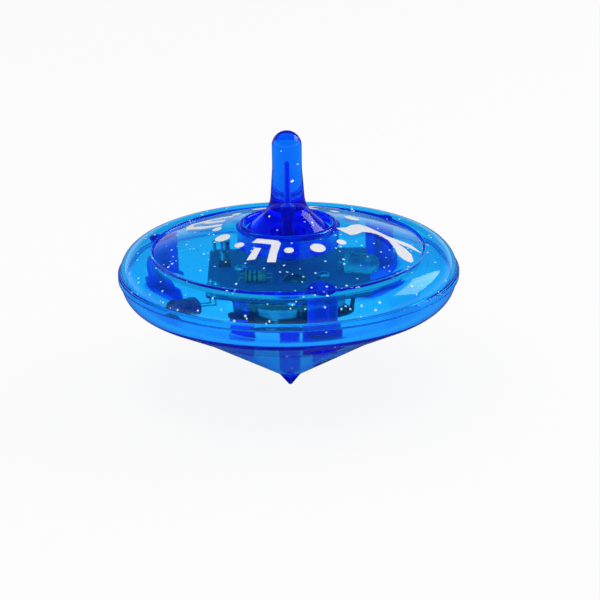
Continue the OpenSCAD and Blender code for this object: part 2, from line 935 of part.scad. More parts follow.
upper_shell();
lower_shell();
spinning_tip();
finger_stem();
stem_washer();
stem_screw();
case_screws();
circuit_board();
board_screws();
flasher_chip();
resistor(0);  // resistor_1
resistor(1);  // resistor_2
battery_tray();
tray_screw();
button_cell(0);  // button_cell_1
button_cell(1);  // button_cell_2
button_cell(2);  // button_cell_3
cell_strap(0);  // cell_strap_1
cell_strap(1);  // cell_strap_2
cell_strap(2);  // cell_strap_3
contact_plate(0);  // contact_plate_1
contact_plate(1);  // contact_plate_2
contact_plate(2);  // contact_plate_3
cell_lead(1, lead_red);  // lead_positive
cell_lead(2, black);  // lead_negative
green_lamp();
green_lamp_wires();
red_lamp();
red_lamp_wires();
switch_base();
switch_pin();
switch_arm();
switch_weight();
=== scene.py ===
"""Looks of a light-up spinning dreidel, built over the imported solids.

Sizes in the classes are millimetres, and heights called "up" start at the parting line between the shells.
Every new piece is a numpy surface that is scaled to metres once, when it becomes a mesh.
"""

import logging
import math
from collections.abc import Callable, Sequence
from dataclasses import dataclass, field
from enum import Enum

import bmesh
import bpy
import numpy as np
from mathutils import Matrix, Vector


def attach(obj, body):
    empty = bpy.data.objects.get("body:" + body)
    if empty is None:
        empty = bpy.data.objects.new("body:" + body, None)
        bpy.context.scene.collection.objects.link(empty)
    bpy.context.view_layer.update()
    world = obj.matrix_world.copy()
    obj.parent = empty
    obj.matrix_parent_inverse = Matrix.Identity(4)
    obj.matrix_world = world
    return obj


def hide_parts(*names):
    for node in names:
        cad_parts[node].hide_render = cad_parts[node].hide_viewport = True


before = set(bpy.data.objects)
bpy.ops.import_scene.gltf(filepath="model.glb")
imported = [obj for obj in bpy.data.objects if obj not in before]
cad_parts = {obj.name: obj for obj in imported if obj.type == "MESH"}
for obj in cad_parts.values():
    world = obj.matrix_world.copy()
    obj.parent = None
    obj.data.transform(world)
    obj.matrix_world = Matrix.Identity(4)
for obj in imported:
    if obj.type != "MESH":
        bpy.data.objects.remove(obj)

LOG = logging.getLogger("dreidel")
MM = 0.001
PARTING = 31.5
# How near to a face a point counts as on it, how far a cutter reaches past the face that it opens, and
# by how much equal lengths may differ
ON_FACE = 0.1
OVERCUT = 1.0
HAIR = 0.01
# Half share of satin skin and of painted shade, the deeper inner tint
HALF_SATIN_AND_SHADE = 0.5
WHITE = (1.0, 1.0, 1.0, 1.0)
Array = np.ndarray
Trio = tuple[float, float, float]
Colour = Trio
Point = tuple[float, float]
Span = tuple[float, float]
Height = Callable[[Array], Array]
Piece = bpy.types.Object
Socket = bpy.types.NodeSocket


class Body(Enum):
    """The two bodies that pieces ride on."""

    TOP = "top"
    SWING_ARM = "switch_swing_arm"


class Join(Enum):
    """How a second solid is worked into a first."""

    ADD = "UNION"
    CUT = "DIFFERENCE"


# Outlines and surfaces


def arc(centre: Point, radius: float, start: float, end: float, steps: int) -> Array:
    """Lay points on a circle, C + R (cos a, sin a), at even angles.

    Args:
        centre: Radius and height of the centre.
        radius: Radius of the arc.
        start: First angle in degrees.
        end: Last angle in degrees.
        steps: Number of steps between them.

    Returns:
        Points as rows of radius and height.
    """
    a = np.radians(np.linspace(start, end, steps + 1))
    return np.column_stack([centre[0] + radius * np.cos(a), centre[1] + radius * np.sin(a)])


def bowed(first: Point, last: Point, rise: float, steps: int) -> Array:
    """Draw a line that bows to its left, P(t) = A + t (B - A) + n 4 h t (1 - t).

    Args:
        first: Start A.
        last: End B.
        rise: Height h of the bow, negative to its right.
        steps: Number of steps.

    Returns:
        Points as rows.
    """
    a, b = np.array(first), np.array(last)
    t = np.linspace(0, 1, steps + 1)[:, None]
    run = (b - a) / np.linalg.norm(b - a)
    return a + t * (b - a) + np.array([-run[1], run[0]]) * rise * 4 * t * (1 - t)


def soften(points: Array, reach: Array, steps: int = 5) -> Array:
    """Round marked corners of a closed outline.

    A corner P with reach d becomes (1-t)^2 A + 2 t (1-t) P + t^2 C, where A and C lie d from P
    along its two sides.

    Args:
        points: Outline corners as rows.
        reach: Reach d of each corner, zero to leave it.
        steps: Points on a rounded corner.

    Returns:
        The rounded outline.
    """
    back = np.roll(points, 1, axis=0) - points
    on = np.roll(points, -1, axis=0) - points
    a = points + reach[:, None] * back / np.linalg.norm(back, axis=1, keepdims=True)
    c = points + reach[:, None] * on / np.linalg.norm(on, axis=1, keepdims=True)
    t = np.linspace(0, 1, steps)[None, :, None]
    curve = (1 - t) ** 2 * a[:, None] + 2 * t * (1 - t) * points[:, None] + t**2 * c[:, None]
    keep = (reach > 0)[:, None] | (np.arange(steps) == 0)[None, :]
    return curve[keep]


def ease(points: Array, reach: float, corner: float = 20.0, share: float = 0.4) -> Array:
    """Round every corner of a closed outline that turns by more than a given angle.

    Args:
        points: Outline corners as rows.
        reach: Reach of a rounded corner, less where its sides are short.
        corner: Least turn of a corner in degrees.
        share: Largest share of a side that a corner takes.

    Returns:
        The eased outline, with corners on the axis left sharp.
    """
    step = np.roll(points, -1, axis=0) - points
    heading = np.degrees(np.arctan2(step[:, 1], step[:, 0]))
    bend = np.abs((heading - np.roll(heading, 1) + 180) % 360 - 180)
    length = np.linalg.norm(step, axis=1)
    room = np.minimum(length, np.roll(length, 1)) * share
    return soften(points, np.where((bend > corner) & (points[:, 0] > 0), np.minimum(reach, room), 0.0))


def along(line: Sequence[Point] | Array, share: Array) -> Array:
    """Find points at shares of a polyline's length.

    Args:
        line: Corners of the line.
        share: Places from 0 to 1.

    Returns:
        One row for each place.
    """
    corners = np.array(line, float)
    run = np.concatenate([[0.0], np.cumsum(np.linalg.norm(np.diff(corners, axis=0), axis=1))])
    return np.column_stack([np.interp(share * run[-1], run, corners[:, k]) for k in (0, 1)])


def grid_faces(rows: int, columns: int, wrap_rows: bool, wrap_columns: bool) -> Array:
    """Number the quads of a grid whose points run row by row.

    Args:
        rows: Rows of points.
        columns: Points in a row.
        wrap_rows: True where the last row joins the first.
        wrap_columns: True where the last column joins the first.

    Returns:
        Corner numbers, four in a row.
    """
    i = np.arange(rows if wrap_rows else rows - 1)[:, None]
    j = np.arange(columns if wrap_columns else columns - 1)[None, :]
    i2, j2 = (i + 1) % rows, (j + 1) % columns
    corners = np.broadcast_arrays(i * columns + j, i * columns + j2, i2 * columns + j2, i2 * columns + j)
    return np.stack(corners, axis=-1).reshape(-1, 4)


@dataclass
class Surface:
    """A closed surface in millimetres.

    Attributes:
        points: Vertices as rows.
        faces: Arrays of corner numbers, each of triangles or of quads.
    """

    points: Array
    faces: list[Array]

    def moved(self, x: float = 0.0, y: float = 0.0, up: float = 0.0) -> "Surface":
        """Give a copy shifted by x, y and up."""
        return Surface(self.points + np.array([x, y, up]), self.faces)

    def turned(self, degrees: float) -> "Surface":
        """Give a copy turned about the spin axis."""
        c, s = math.cos(math.radians(degrees)), math.sin(math.radians(degrees))
        return Surface(self.points @ np.array([[c, s, 0], [-s, c, 0], [0, 0, 1]]), self.faces)

    def mesh(self, name: str) -> Piece:
        """Make a mesh object at the origin, in metres.

        Args:
            name: Name of the piece.

        Returns:
            The object, linked to the scene.
        """
        data = bpy.data.meshes.new(name)
        corners = [f for group in self.faces for f in group.tolist()]
        data.from_pydata((self.points * MM).tolist(), [], corners)
        piece = bpy.data.objects.new(name, data)
        bpy.context.scene.collection.objects.link(piece)
        return piece


def gather(surfaces: Sequence[Surface]) -> Surface:
    """Put several surfaces side by side in one, with their corner numbers shifted.

    Args:
        surfaces: Surfaces that keep clear of each other.

    Returns:
        One surface with all of them.
    """
    starts = np.cumsum([0] + [len(s.points) for s in surfaces])
    faces = [f + start for s, start in zip(surfaces, starts) for f in s.faces]
    return Surface(np.vstack([s.points for s in surfaces]), faces)


def caps(sides: int, last: int, pole: int) -> list[Array]:
    """Close the first and the last ring of a surface with fans of triangles.

    Args:
        sides: Points in a ring, of which the first ring's start at zero.
        last: Number of the last ring's first point.
        pole: Number of the first ring's pole, which the last ring's pole follows.

    Returns:
        Corner numbers of the two fans.
    """
    j = np.arange(sides)
    k = (j + 1) % sides
    return [
        np.column_stack([np.full(sides, pole), k, j]),
        np.column_stack([last + j, last + k, np.full(sides, pole + 1)]),
    ]


def lathe(outline: Array, turns: int, loop: bool) -> Surface:
    """Turn an outline about the spin axis, P(i, a) = (r_i cos a, r_i sin a, z_i).

    The outline runs with the solid on its left. A loop gives a ring, and any other outline starts and
    ends on the axis, where its ends become poles.

    Args:
        outline: Rows of radius and height.
        turns: Steps round the axis.
        loop: True where the outline closes on itself.

    Returns:
        The closed surface, facing outwards.
    """
    a = np.arange(turns) * 2 * np.pi / turns
    rings = outline if loop else outline[1:-1]
    r, z = rings[:, :1], rings[:, 1:]
    points = np.stack([r * np.cos(a), r * np.sin(a), z + 0 * a], axis=-1).reshape(-1, 3)
    faces = [grid_faces(len(rings), turns, loop, True)]
    if not loop:
        faces += caps(turns, len(points) - turns, len(points))
        points = np.vstack([points, [0, 0, outline[0, 1]], [0, 0, outline[-1, 1]]])
    return Surface(points, faces)


def peg(x: float, y: float, radius: float, low: Height, high: Height, sides: int = 64) -> Surface:
    """Stand a peg whose ends follow two heights, P(a, t) = (x + R cos a, y + R sin a, low + t (high - low)).

    Args:
        x: Place of its centre.
        y: Place of its centre.
        radius: Radius R.
        low: Height of the lower end at a distance from the spin axis.
        high: Height of the upper end likewise.
        sides: Steps round the peg.

    Returns:
        The closed peg, facing outwards.
    """
    a = np.arange(sides) * 2 * np.pi / sides
    ring = np.column_stack([x + radius * np.cos(a), y + radius * np.sin(a)])
    flat = np.vstack([ring, ring, [[x, y], [x, y]]])
    reach = np.hypot(flat[:, 0], flat[:, 1])
    upper = np.r_[np.zeros(sides), np.ones(sides), 0, 1]
    z = low(reach) * (1 - upper) + high(reach) * upper
    walls = grid_faces(2, sides, False, True)
    return Surface(np.column_stack([flat, z]), [walls, *caps(sides, sides, 2 * sides)])


def level(height: float) -> Height:
    """Give the height function of a level end."""
    return lambda reach: np.full_like(reach, height)


def slab(flat: Array, ground: Height, lift: float, thick: float) -> Surface:
    """Lay a grid of places on the ground as a thin closed slab.

    The top is ground + lift + thick over each place and the underside is ground + lift, with walls
    round the edge.

    Args:
        flat: Places as rows, columns and x y.
        ground: Height of the ground at a distance from the spin axis.
        lift: Gap under the slab.
        thick: Thickness of the slab.

    Returns:
        The closed slab.
    """
    rows, columns = flat.shape[:2]
    places = flat.reshape(-1, 2)
    z = ground(np.hypot(places[:, 0], places[:, 1])) + lift
    points = np.vstack([np.column_stack([places, z + thick]), np.column_stack([places, z])])
    top = grid_faces(rows, columns, False, False)
    number = np.arange(rows * columns).reshape(rows, columns)
    edge = np.concatenate([number[0, :-1], number[:-1, -1], number[-1, :0:-1], number[:0:-1, 0]])
    after = np.roll(edge, -1)
    under = rows * columns
    wall = np.column_stack([edge, edge + under, after + under, after])
    return Surface(points, [top, top[:, ::-1] + under, wall])


def disc(x: float, y: float, radius: float, ground: Height, lift: float, thick: float) -> Surface:
    """Lay a round slab on the ground, P(q, a) = centre + q R (cos a, sin a) with a softened edge.

    Args:
        x: Place of its centre.
        y: Place of its centre.
        radius: Radius R.
        ground: Height of the ground at a distance from the spin axis.
        lift: Gap under the slab.
        thick: Thickness of the slab.

    Returns:
        The closed slab.
    """
    q = np.array([0.0, 0.3, 0.6, 0.93, 1.0, 1.0, 0.6, 0.3, 0.0])
    rise = np.array([1.0, 1.0, 1.0, 1.0, 0.6, 0.0, 0.0, 0.0, 0.0]) * thick
    turned = lathe(np.column_stack([q * radius, rise])[::-1], turns=40, loop=False).moved(x, y)
    reach = np.hypot(turned.points[:, 0], turned.points[:, 1])
    turned.points[:, 2] += ground(reach) + lift
    return turned


def work(base: Piece, tool: Surface, join: Join) -> None:
    """Add a solid to a piece or cut it away, and keep the result as the piece's own mesh.

    Args:
        base: The piece that is worked.
        tool: The solid that is added or cut.
        join: Which of the two.
    """
    cutter = tool.mesh("cutter")
    step = base.modifiers.new("work", "BOOLEAN")
    step.operation = join.value
    step.solver = "MANIFOLD"
    step.object = cutter
    done = bpy.data.meshes.new_from_object(base.evaluated_get(bpy.context.evaluated_depsgraph_get()))
    base.modifiers.clear()
    old, base.data = base.data, done
    done.name = base.name
    bpy.data.meshes.remove(old)
    spare = cutter.data
    bpy.data.objects.remove(cutter)
    bpy.data.meshes.remove(spare)


def face_out(piece: Piece) -> None:
    """Point the faces of a closed piece outwards.

    Args:
        piece: The piece.
    """
    sheet = bmesh.new()
    sheet.from_mesh(piece.data)
    bmesh.ops.recalc_face_normals(sheet, faces=sheet.faces)
    sheet.to_mesh(piece.data)
    sheet.free()


def smooth(piece: Piece, crease: float = 30.0) -> None:
    """Shade a piece smooth, with edges sharper than the crease angle kept hard."""
    piece.data.shade_smooth()
    piece.data.set_sharp_from_angle(angle=math.radians(crease))


def on_orbit(orbit: float, turns: Sequence[float] | Array) -> Array:
    """Give places on an orbit round the spin axis, R (cos a, sin a), as rows."""
    a = np.radians(turns)
    return orbit * np.column_stack([np.cos(a), np.sin(a)])


def near(places: Array, orbit: float, turns: Sequence[float], radius: float) -> Array:
    """Say which places lie within a radius of pegs that stand on an orbit.

    Args:
        places: Points as rows.
        orbit: Distance of the pegs from the spin axis.
        turns: Angle of each peg in degrees.
        radius: Radius round a peg's centre.

    Returns:
        One truth value for each place.
    """
    gaps = np.linalg.norm(places[:, None, :2] - on_orbit(orbit, turns)[None], axis=2)
    return (gaps < radius).any(axis=1)


def satin_and_shade(piece: Piece, rule: Callable[[Array], Array]) -> None:
    """Mark the inner faces of a clear moulding, whose skin is satin and whose deeper tint is painted shade.

    Args:
        piece: The moulding.
        rule: Gives each point's share of satin and painted shade from its place, with heights from the
            parting line.
    """
    places = np.empty(len(piece.data.vertices) * 3, np.float32)
    piece.data.vertices.foreach_get("co", places)
    places = places.reshape(-1, 3) / MM - np.array([0.0, 0.0, PARTING])
    # One share drives both the satin roughness and the painted shade, a deeper surface tint
    share = piece.data.attributes.new("satin_and_shade", "FLOAT", "POINT")
    share.data.foreach_set("value", rule(places).astype(np.float32))


# Finishes


class Nodes:
    """A node tree, and the few steps that build one."""

    def __init__(self, tree: bpy.types.NodeTree) -> None:
        """Take up a tree."""
        self.tree = tree

    def put(self, kind: str, values: dict[str, object] | None = None, **settings: object) -> bpy.types.Node:
        """Add a node.

        Args:
            kind: Blender's name of the node, after ShaderNode.
            values: Constants for its sockets.
            **settings: Properties to set on it.

        Returns:
            The node.
        """
        node = self.tree.nodes.new("ShaderNode" + kind)
        for key, value in settings.items():
            setattr(node, key, value)
        for key, value in (values or {}).items():
            node.inputs[key].default_value = value
        return node

    def link(self, source: Socket, target: Socket) -> None:
        """Join two sockets."""
        self.tree.links.new(source, target)

    def math(self, operation: str, *terms: Socket | float, clamp: bool = False) -> Socket:
        """Work out one step of arithmetic.

        Args:
            operation: Blender's name of the step.
            *terms: Sockets or numbers.
            clamp: True to keep the result from 0 to 1.

        Returns:
            The result.
        """
        node = self.put("Math", operation=operation, use_clamp=clamp)
        for spot, term in zip(node.inputs, terms):
            if isinstance(term, Socket):
                self.link(term, spot)
            else:
                spot.default_value = term
        return node.outputs["Value"]

    def stretch(self, value: Socket, source: Span, target: Span, **settings: object) -> Socket:
        """Map a value from one range to another.

        Args:
            value: The value.
            source: Range that it comes from.
            target: Range that it goes to.
            **settings: Properties to set on the node.

        Returns:
            The mapped value.
        """
        limits = dict(zip(("From Min", "From Max", "To Min", "To Max"), (*source, *target)))
        node = self.put("MapRange", limits, **settings)
        self.link(value, node.inputs["Value"])
        return node.outputs["Result"]

    def mix(self, share: Socket, first: Socket, second: Socket) -> Socket:
        """Mix two shaders.

        Args:
            share: Share of the second.
            first: The first shader.
            second: The second shader.

        Returns:
            The mixed shader.
        """
        node = self.put("MixShader")
        for spot, source in zip(node.inputs, (share, first, second)):
            self.link(source, spot)
        return node.outputs["Shader"]

    def ray(self, kind: str) -> Socket:
        """Give one for rays of a kind, and zero for the rest."""
        return self.put("LightPath").outputs[f"Is {kind} Ray"]

    def mirrored(self) -> Socket:
        """Give one for rays that polished faces mirror, and zero for rays that went through the plastic."""
        return self.math("SUBTRACT", self.ray("Glossy"), self.ray("Transmission"), clamp=True)


class Bench(Nodes):
    """One material's node tree, and the few steps that every finish uses."""

    noise_range: Span = (0.3, 0.7)

    def __init__(self, name: str) -> None:
        """Start a material with a bare shader and its output.

        Args:
            name: Name of the material.
        """
        self.material = bpy.data.materials.new(name)
        self.material.use_nodes = True
        super().__init__(self.material.node_tree)
        self.tree.nodes.clear()
        self.output = self.put("OutputMaterial")
        self.shader = self.put("BsdfPrincipled")
        self.link(self.shader.outputs["BSDF"], self.output.inputs["Surface"])

    def set(self, **values: object) -> None:
        """Set constants on the shader's own sockets, with underscores for the spaces in their names."""
        for key, value in values.items():
            self.shader.inputs[key.replace("_", " ")].default_value = value

    def feed(self, name: str, source: Socket) -> None:
        """Feed one of the shader's sockets."""
        self.link(source, self.shader.inputs[name])

    def places(self, stretch: Trio = (1.0, 1.0, 1.0)) -> Socket:
        """Give object coordinates, stretched along the axes.

        Args:
            stretch: Factor along each axis.

        Returns:
            Coordinates in metres.
        """
        mapping = self.put("Mapping", {"Scale": stretch})
        self.link(self.put("TexCoord").outputs["Object"], mapping.inputs["Vector"])
        return mapping.outputs["Vector"]

    def grain(self, places: Socket, scale: float, detail: float = 3.0) -> Socket:
        """Give a noise value.

        Args:
            places: Coordinates in metres.
            scale: Waves in a metre.
            detail: Finer layers on top.

        Returns:
            Values from 0 to 1.
        """
        noise = self.put("TexNoise", {"Scale": scale, "Detail": detail})
        self.link(places, noise.inputs["Vector"])
        return noise.outputs["Fac"]

    def spread(self, value: Socket, low: float, high: float) -> Socket:
        """Spread a noise value over a range."""
        return self.stretch(value, self.noise_range, (low, high))

    def shade(self, value: Socket, stops: Sequence[tuple[float, Colour]]) -> Socket:
        """Turn a value into a colour.

        Args:
            value: Value from 0 to 1.
            stops: Places and their colours, two or more.

        Returns:
            The colour.
        """
        ramp = self.put("ValToRGB")
        spots = ramp.color_ramp.elements
        for _ in stops[2:]:
            spots.new(0.5)
        for spot, (place, colour) in zip(spots, stops):
            spot.position, spot.color = place, (*colour, 1.0)
        self.link(value, ramp.inputs["Fac"])
        return ramp.outputs["Color"]

    def tone(self, value: Socket, places: Span, first: Colour, second: Colour) -> Socket:
        """Turn a noise value into a blend of two colours, which begin at two places."""
        return self.shade(value, list(zip(places, (first, second))))

    def attribute(self, name: str) -> Socket:
        """Give a value that is stored on the piece's own points, or zero where it has none."""
        return self.put("Attribute", attribute_name=name).outputs["Fac"]

    def blend(self, share: Socket, first: Socket, second: Colour) -> Socket:
        """Blend a colour into a second one.

        Args:
            share: Share of the second colour.
            first: The first colour.
            second: The second colour.

        Returns:
            The blended colour.
        """
        mix = self.put("Mix", data_type="RGBA")
        self.link(share, mix.inputs[0])
        self.link(first, mix.inputs[6])
        mix.inputs[7].default_value = (*second, 1.0)
        return mix.outputs[2]

    def relief(self, height: Socket, strength: float, depth: float) -> None:
        """Give the surface a fine relief.

        Args:
            height: Values from 0 to 1.
            strength: Share of the relief that shows.
            depth: Its depth in millimetres.
        """
        bump = self.put("Bump", {"Strength": strength, "Distance": depth * MM})
        self.link(height, bump.inputs["Height"])
        self.feed("Normal", bump.outputs["Normal"])


@dataclass(frozen=True)
class ClearPlastic:
    """Polished clear plastic that takes most of its colour from its depth.

    Attributes:
        name: Name of the finish.
        pale: Lighter surface tint.
        deep: Darker surface tint.
        body: Colour left after light has gone through it.
        density: How fast the colour deepens, for each metre.
        polish: Roughness from best to worst.
        ripple: Depth of the mould's ripples.
        inner: Deeper tint of satin inner faces, painted shade that darkens posts, well, core hole and seam.
        frost: Roughness that a satin face adds.
        bend: Refractive index.
        painted_glow: Strength of a painted glow, an emission on each face that stands in for light that the
            dye scatters back.
        painted_glow_tint: Colour of that painted glow.
        clouds: Size of the clouding, waves in a metre.
        smears: Size of the polish's pattern.
        ripples: Size of the ripples.
        tones: Noise values at which the deep and the pale tint begin.
        show: Share of the ripples that shows.
    """

    name: str
    pale: Colour
    deep: Colour
    body: Colour
    density: float
    polish: Span = (0.012, 0.05)
    ripple: float = 0.04
    # Painted shade: deeper surface tint on satin faces
    inner: Colour = (0.04, 0.07, 1.0)
    frost: float = 0.4
    bend: float = 1.5
    # Painted glow: strength and colour of a faint emission on every face
    painted_glow: float = 0.03
    painted_glow_tint: Colour = (0.0, 0.04, 1.0)
    clouds: float = 160.0
    smears: float = 420.0
    ripples: float = 95.0
    tones: Span = (0.35, 0.65)
    show: float = 0.5

    def material(self) -> bpy.types.Material:
        """Make the material: faint clouding, polish that varies, mould ripples, absorbing depth, a faint
        painted glow, and a deeper tint on satin faces as painted shade.

        Returns:
            The material.
        """
        bench = Bench(self.name)
        places = bench.places()
        bench.set(Transmission_Weight=1.0, IOR=self.bend)
        # Painted glow: a faint emission in the haze tint on every face, standing in for light that the dye
        # scatters back
        bench.set(Emission_Color=(*self.painted_glow_tint, 1.0), Emission_Strength=self.painted_glow)
        inner = bench.attribute("satin_and_shade")
        cloud = bench.tone(bench.grain(places, self.clouds), self.tones, self.deep, self.pale)
        # Painted shade: satin faces blend towards the deeper inner tint
        bench.feed("Base Color", bench.blend(inner, cloud, self.inner))
        rough = bench.spread(bench.grain(places, self.smears, detail=5.0), *self.polish)
        bench.feed("Roughness", bench.math("MULTIPLY_ADD", inner, self.frost, rough))
        bench.relief(bench.grain(places, self.ripples, detail=1.0), self.show, self.ripple)
        depth = bench.put("VolumeAbsorption", {"Color": (*self.body, 1.0), "Density": self.density})
        bench.link(depth.outputs["Volume"], bench.output.inputs["Volume"])
        return bench.material


@dataclass(frozen=True)
class PlatedMetal:
    """Plated or rolled metal with a fine directional grain.

    Attributes:
        name: Name of the finish.
        bright: Colour of the clean metal.
        dull: Colour where it has dulled.
        rough: Roughness from clean to dull.
        stretch: Stretch of the grain along the axes.
        scratch: Depth of the grain.
        lines: Size of the grain, waves in a metre.
        patches: Size of the tarnish.
        tones: Noise values at which dull and bright begin.
        show: Share of the grain that shows.
    """

    name: str
    bright: Colour
    dull: Colour
    rough: Span = (0.18, 0.42)
    stretch: Trio = (1.0, 1.0, 8.0)
    scratch: float = 0.01
    lines: float = 900.0
    patches: float = 260.0
    tones: Span = (0.32, 0.62)
    show: float = 0.4

    def material(self) -> bpy.types.Material:
        """Make the material: tarnish patches over a brushed grain.

        Returns:
            The material.
        """
        bench = Bench(self.name)
        grain = bench.grain(bench.places(self.stretch), self.lines, detail=4.0)
        patch = bench.grain(bench.places(), self.patches)
        bench.set(Metallic=1.0)
        bench.feed("Base Color", bench.tone(patch, self.tones, self.dull, self.bright))
        bench.feed("Roughness", bench.spread(grain, *self.rough))
        bench.relief(grain, self.show, self.scratch)
        return bench.material


@dataclass(frozen=True)
class MouldedPlastic:
    """Opaque moulded plastic, lacquer or insulation with a fine skin.

    Attributes:
        name: Name of the finish.
        light: Colour on the high spots, and the colour of the painted glint.
        dark: Colour in the low spots.
        rough: Roughness from smooth to worn.
        scale: Size of the skin's pattern, waves in a metre.
        skin: Depth of the pattern.
        painted_glint: Strength of a painted glint, an emission that stands in for the lamp light that foil
            throws back from all sides.
        coarser: How many times larger the two tones are than the skin.
        tones: Noise values at which dark and light begin.
        show: Share of the skin that shows.
    """

    name: str
    light: Colour
    dark: Colour
    rough: Span = (0.4, 0.62)
    scale: float = 1400.0
    skin: float = 0.02
    # Painted glint: emission strength in the light colour
    painted_glint: float = 0.0
    coarser: float = 5.0
    tones: Span = (0.3, 0.7)
    show: float = 0.5

    def material(self) -> bpy.types.Material:
        """Make the material: two tones, a fine grained skin, and the painted glint where shine is set.

        Returns:
            The material.
        """
        bench = Bench(self.name)
        places = bench.places()
        # Painted glint: emission in the light colour, zero unless shine is set
        bench.set(Emission_Color=(*self.light, 1.0), Emission_Strength=self.painted_glint)
        skin = bench.grain(places, self.scale, detail=4.0)
        tone = bench.grain(places, self.scale / self.coarser)
        bench.feed("Base Color", bench.tone(tone, self.tones, self.dark, self.light))
        bench.feed("Roughness", bench.spread(skin, *self.rough))
        bench.relief(skin, self.show, self.skin)
        return bench.material


@dataclass(frozen=True)
class BandedLacquer:
    """Lacquer with coloured bands across the X axis, for a small resistor.

    Attributes:
        name: Name of the finish.
        ground: Colour of the lacquer.
        bands: Places along X in millimetres and the colour of each band.
        width: Width of a band.
        span: First and last place along X.
        scale: Size of the lacquer's skin, waves in a metre.
        rough: Roughness from smooth to worn.
        skin: Depth of the skin.
        show: Share of the skin that shows.
    """

    name: str
    ground: Colour
    bands: tuple[tuple[float, Colour], ...]
    width: float
    span: Span
    scale: float = 900.0
    rough: Span = (0.25, 0.4)
    skin: float = 0.03
    show: float = 0.3

    def material(self) -> bpy.types.Material:
        """Make the material: a hard-edged ramp along X over glossy lacquer.

        Returns:
            The material.
        """
        bench = Bench(self.name)
        split = bench.put("SeparateXYZ")
        bench.link(bench.places(), split.inputs["Vector"])
        share = bench.stretch(split.outputs["X"], (self.span[0] * MM, self.span[1] * MM), (0.0, 1.0))
        length = self.span[1] - self.span[0]
        stops: list[tuple[float, Colour]] = [(0.0, self.ground)]
        for place, colour in self.bands:
            start = (place - self.width / 2 - self.span[0]) / length
            stops += [(start, colour), (start + self.width / length, self.ground)]
        colour = bench.shade(share, stops)
        colour.node.color_ramp.interpolation = "CONSTANT"
        skin = bench.grain(bench.places(), self.scale)
        bench.feed("Base Color", colour)
        bench.feed("Roughness", bench.spread(skin, *self.rough))
        bench.relief(skin, self.show, self.skin)
        return bench.material


@dataclass(frozen=True)
class BoardLaminate:
    """Circuit board under a coloured solder mask, with its weave showing faintly.

    Attributes:
        name: Name of the finish.
        pale: Colour of the mask.
        fibre: Colour over the fibres.
        weave: Size of the weave, waves in a metre.
        thin: How many times thinner than long a fibre is.
        rough: Roughness from smooth to worn.
        tones: Noise values at which fibre and mask begin.
        skin: Depth of the weave.
        show: Share of the weave that shows.
    """

    name: str
    pale: Colour
    fibre: Colour
    weave: float = 420.0
    thin: float = 6.0
    rough: Span = (0.38, 0.6)
    tones: Span = (0.38, 0.6)
    skin: float = 0.02
    show: float = 0.4

    def material(self) -> bpy.types.Material:
        """Make the material: crossed fibres under a satin mask.

        Returns:
            The material.
        """
        bench = Bench(self.name)
        thin = self.thin
        warp = bench.grain(bench.places((1.0, thin, thin)), self.weave, detail=4.0)
        weft = bench.grain(bench.places((thin, 1.0, thin)), self.weave, detail=4.0)
        both = bench.math("MULTIPLY_ADD", warp, 0.5, bench.math("MULTIPLY", weft, 0.5))
        bench.feed("Base Color", bench.tone(both, self.tones, self.fibre, self.pale))
        bench.feed("Roughness", bench.spread(warp, *self.rough))
        bench.relief(both, self.show, self.skin)
        return bench.material


